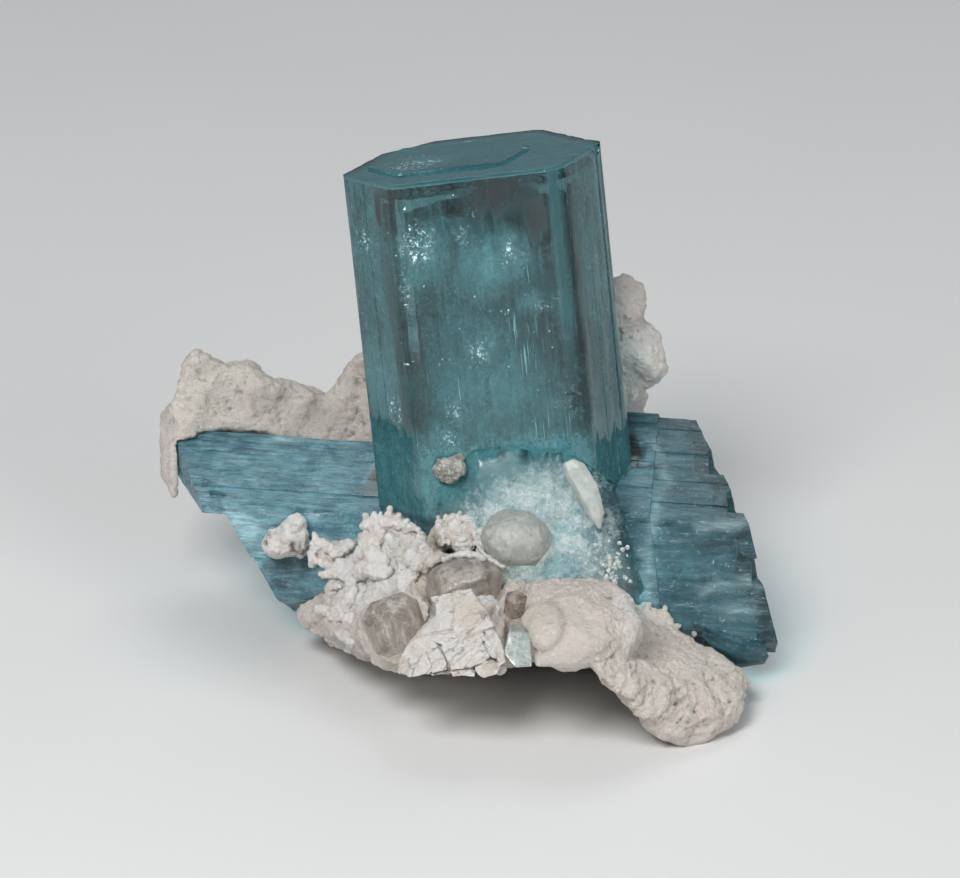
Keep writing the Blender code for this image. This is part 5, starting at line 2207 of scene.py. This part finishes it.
CURL_STRANDS = (
    (
        (-15.1, -3.0, 11.6, 0.45), (-15.0, -3.2, 13.0, 0.5), (-14.7, -3.3, 14.2, 0.45),
        (-13.8, -3.6, 13.9, 0.5), (-12.8, -4.4, 13.5, 0.6), (-11.9, -4.1, 14.0, 0.6),
        (-11.1, -4.2, 14.3, 0.45),
    ),
    (
        (-14.7, -3.7, 12.3, 0.3), (-13.7, -4.2, 12.1, 0.4), (-12.8, -4.5, 12.0, 0.4),
        (-12.2, -4.7, 12.6, 0.35), (-11.6, -5.5, 11.8, 0.5),
    ),
    (
        (-14.1, -4.3, 11.0, 0.4), (-13.3, -4.3, 11.2, 0.45), (-12.2, -5.4, 11.6, 0.5),
        (-11.2, -6.8, 11.5, 0.55), (-11.0, -7.9, 10.7, 0.55), (-11.4, -8.8, 10.0, 0.5),
        (-12.1, -8.7, 9.2, 0.5), (-13.4, -7.8, 8.5, 0.5), (-14.2, -6.8, 8.4, 0.4),
    ),
    ((-13.0, -5.5, 10.3, 0.3), (-12.3, -6.3, 10.6, 0.3)),
    (
        (-11.6, -5.4, 11.8, 0.6), (-10.6, -5.7, 13.1, 0.8), (-9.7, -6.3, 14.4, 0.9),
        (-9.1, -6.5, 15.4, 0.9), (-8.4, -6.2, 16.2, 0.8),
    ),
    (
        (-10.8, -6.1, 11.9, 0.7), (-9.7, -7.9, 13.2, 0.9), (-8.8, -8.7, 13.3, 0.8), (-8.0, -9.0, 13.2, 0.7),
        (-7.3, -9.1, 13.5, 0.5),
    ),
    ((-9.7, -6.0, 15.6, 0.8), (-8.9, -7.7, 14.5, 0.9), (-7.8, -8.4, 14.3, 0.6)),
    (
        (-9.8, -5.4, 16.8, 0.5), (-8.9, -5.5, 17.0, 0.6), (-8.0, -6.0, 17.3, 0.65),
        (-7.1, -6.1, 17.5, 0.65), (-6.3, -6.2, 17.3, 0.6), (-5.5, -6.0, 16.9, 0.5), (-4.6, -6.0, 16.7, 0.4),
    ),
    ((-4.1, -6.1, 16.0, 0.5), (-4.4, -7.5, 15.5, 0.7), (-3.7, -8.9, 15.4, 0.7), (-3.2, -10.6, 15.4, 0.5)),
    ((-5.4, -9.9, 15.0, 0.6), (-4.5, -10.3, 14.8, 0.8), (-4.1, -10.0, 15.1, 0.7)),
    ((-6.0, -10.0, 14.1, 0.5), (-6.1, -10.1, 12.9, 0.6), (-5.8, -11.5, 12.4, 0.6)),
    ((-5.4, -9.6, 15.3, 0.5), (-5.0, -9.2, 15.7, 0.6)),
    ((-5.0, -10.2, 13.8, 0.6), (-5.4, -10.4, 12.8, 0.6)),
    (
        (-14.4, -5.8, 7.8, 0.45), (-13.0, -8.2, 8.4, 0.55), (-11.9, -9.4, 8.7, 0.6),
        (-11.0, -10.5, 8.9, 0.55),
    ),
    ((-11.9, -10.6, 7.3, 0.5), (-11.0, -11.7, 7.0, 0.5), (-11.4, -9.2, 5.0, 0.4)),
    (
        (-1.8, -12.0, 15.9, 0.24), (-1.1, -12.5, 16.6, 0.3), (0.0, -12.9, 16.9, 0.32),
        (1.1, -13.1, 17.0, 0.28), (2.1, -13.2, 16.5, 0.24),
    ),
    ((1.5, -10.6, 16.8, 0.18), (2.2, -11.6, 16.2, 0.2), (3.0, -12.3, 15.9, 0.2), (3.9, -12.4, 15.4, 0.16)),
    ((-4.3, -13.6, 12.2, 0.25), (-3.6, -14.6, 11.8, 0.3), (-3.8, -16.2, 11.3, 0.3)),
)
CURL_SPIKES = (
    ((-9.8, -5.4, 17.9), (-9.5, -5.6, 17.0), 0.5),
    ((-8.9, -5.5, 18.2), (-8.9, -5.7, 17.2), 0.55),
    ((-8.2, -5.8, 18.4), (-8.2, -6.0, 17.4), 0.5),
    ((-7.2, -5.9, 19.0), (-7.4, -6.1, 17.5), 0.55),
    ((-6.4, -6.0, 18.2), (-6.8, -6.1, 17.4), 0.5),
    ((-5.5, -6.0, 17.7), (-6.0, -6.1, 17.2), 0.45),
    ((-14.9, -3.2, 15.0), (-14.7, -3.3, 14.3), 0.35),
    ((-13.9, -3.5, 14.4), (-14.0, -3.5, 13.9), 0.35),
)
BLOCKS = (
    (
        (0.1, 1.2, -2.2), (-3.2, -18.6, 14.9), (-0.9, -18.9, 15.5), (-0.7, -21.0, 14.5),
        (-0.9, -22.9, 13.3), (-2.3, -22.6, 12.9), (-4.2, -21.6, 12.1), (-3.9, -20.4, 12.6),
        (-2.7, -20.6, 13.8), (-2.6, -19.6, 14.5),
    ),
    (
        (0.0, 1.2, -2.3), (-1.05, -19.1, 15.7), (0.9, -19.1, 16.0), (2.1, -21.6, 15.2), (3.1, -23.6, 14.0),
        (1.7, -24.1, 13.6), (-0.3, -24.1, 13.0), (-1.05, -23.2, 13.4), (-0.85, -21.2, 14.6),
    ),
    (
        (0.9, 3.4, 0.3), (-5.7, -22.2, 10.8), (-4.9, -22.2, 11.7), (-3.7, -23.6, 11.4), (-3.1, -24.6, 10.3),
        (-3.1, -25.2, 9.4), (-5.2, -24.4, 8.7), (-5.9, -23.6, 8.9), (-6.4, -22.6, 9.6),
    ),
    (
        (0.3, 3.2, 0.2), (-4.8, -22.3, 11.8), (-4.0, -22.4, 12.3), (-2.5, -23.8, 12.0), (-1.7, -24.8, 11.0),
        (-1.4, -25.4, 10.0), (-3.0, -25.3, 9.5), (-3.0, -24.7, 10.4), (-3.6, -23.7, 11.4),
    ),
    (
        (0.0, 2.6, -0.9), (-3.9, -22.4, 12.3), (-2.3, -23.2, 12.9), (-0.9, -23.8, 13.4),
        (-0.2, -24.6, 12.9), (-1.0, -24.7, 12.3), (-2.1, -24.2, 12.1),
    ),
    (
        (0.0, 3.2, 0.0), (-0.1, -24.6, 12.8), (1.7, -24.5, 13.4), (2.1, -24.9, 12.5), (2.7, -25.3, 11.3),
        (2.1, -25.6, 10.9), (0.9, -25.8, 10.4), (-1.2, -25.8, 10.1), (-1.4, -25.3, 10.8),
        (-2.2, -24.5, 12.0), (-1.0, -24.9, 12.2),
    ),
    (
        (-0.1, 2.8, -0.3), (1.8, -24.3, 13.4), (2.6, -24.5, 12.8), (3.2, -24.9, 11.9), (3.3, -25.3, 11.1),
        (2.8, -25.3, 11.3), (2.2, -24.9, 12.5),
    ),
    (
        (-0.4, 2.8, -0.3), (2.2, -23.9, 13.4), (3.3, -23.6, 13.5), (4.0, -24.2, 11.9), (4.3, -25.0, 10.5),
        (3.6, -25.2, 10.3), (3.3, -25.0, 11.2), (3.1, -24.7, 12.2),
    ),
    (
        (0.0, 2.6, 0.5), (1.1, -25.7, 10.3), (2.3, -25.8, 10.9), (3.8, -25.4, 10.3), (3.4, -25.8, 9.7),
        (2.1, -26.1, 9.4), (1.5, -26.0, 9.7),
    ),
    (
        (0.2, 2.6, 0.6), (-1.3, -25.6, 9.9), (0.8, -25.8, 10.2), (1.3, -25.9, 9.6), (0.0, -25.8, 9.5),
        (-1.0, -25.7, 9.4),
    ),
)


def dress_grains() -> None:
    """Build and dress the quartz, tuft, blade, crust and sliver."""
    smoky = QuartzFinish(
        "smoky_quartz", (0.25, 0.225, 0.2), (0.74, 0.69, 0.64), (0.5, 0.47, 0.43), 0.3, gloss=0.55, drawn=5.0
    ).build()
    chunk = QuartzFinish(
        "smoky_chunk", (0.26, 0.235, 0.21), (0.74, 0.69, 0.64), (0.4, 0.37, 0.335), 0.5, gloss=0.2
    ).build()
    pale = QuartzFinish(
        "pale_quartz", (0.36, 0.36, 0.33), (0.84, 0.84, 0.8), (0.46, 0.47, 0.43), 0.62, gloss=0.05
    ).build()
    brown = QuartzFinish(
        "brown_quartz", (0.17, 0.13, 0.105), (0.62, 0.52, 0.45), (0.34, 0.28, 0.24), 0.5, gloss=0.3
    ).build()
    green = QuartzFinish("pale_beryl", (0.34, 0.4, 0.38), (0.84, 0.92, 0.91), (0.5, 0.54, 0.52), 0.45).build()
    sugar = QuartzFinish("sugar_grains", (0.5, 0.54, 0.52), (0.9, 0.92, 0.91), (0.72, 0.75, 0.73), 0.25).build()
    Grain("smoky_crystal", "smoky_quartz_crystal", "smoky_quartz", None, 0.09, 0.5, 211, drawn=6.0).dress(smoky)
    Grain(
        "smoky_chunk", "smoky_quartz_chunk", "smoky_quartz", 0.2, 0.16, 1.3, 223, worn=2, rounding=0.3
    ).dress(chunk)
    Grain(
        "pale_grain", "pale_quartz_grain", "pale_quartz", 0.16, 0.2, 0.9, 227,
        worn=3, rounding=0.6, sink=(0.0, 1.0, -0.6),
    ).dress(pale)
    Grain("brown_grain", "brown_quartz_grain", "smoky_quartz", None, 0.1, 0.6, 229).dress(brown)
    Grain("beryl_sliver", "aquamarine_sliver", "pale_aquamarine", None, 0.08, 0.9, 233).dress(green)
    LooseGrains().dress(sugar)
    waxy = WaxyFinish().build()
    Grain("slim_blade", "feldspar_blade", "feldspar", 0.14, 0.05, 0.8, 239).dress(waxy)
    earthy = CrustFinish().build()
    Grain("crust_patch", "grey_crust", "crust", 0.1, 0.45, 0.8, 241, sink=(0.0, 0.15, -0.35)).dress(earthy)
    sugary = FeldsparFinish(RockGrain.SUGARY).build()
    Grain("feldspar_tuft_knob", "feldspar_tuft", "feldspar", 0.15, 0.3, 0.9, 251).dress(sugary)


def main() -> None:
    """Build the specimen and the studio, in order."""
    logging.basicConfig(level=logging.INFO, format="%(name)s: %(message)s")
    Studio().build()
    cluster = BerylCluster()
    cluster.dress(BerylFinish())
    EtchedMass().dress(EtchedFinish())
    interior = Interior()
    InnerHaze(interior, cluster).dress(HazeFinish())
    Veils(interior).dress(VeilFinish())
    Sparks(interior).dress(SparkFinish())
    GrowthThreads(interior).dress(ThreadFinish())
    MatrixRock().dress(FeldsparFinish(RockGrain.ROUGH))
    SugarKnobs(strands=CURL_STRANDS, spikes=CURL_SPIKES).dress(FeldsparFinish(RockGrain.SUGARY))
    CleavageBlocks(blocks=BLOCKS).dress(FeldsparFinish(RockGrain.CLEAVED))
    dress_grains()


if __name__ == "__main__":
    main()
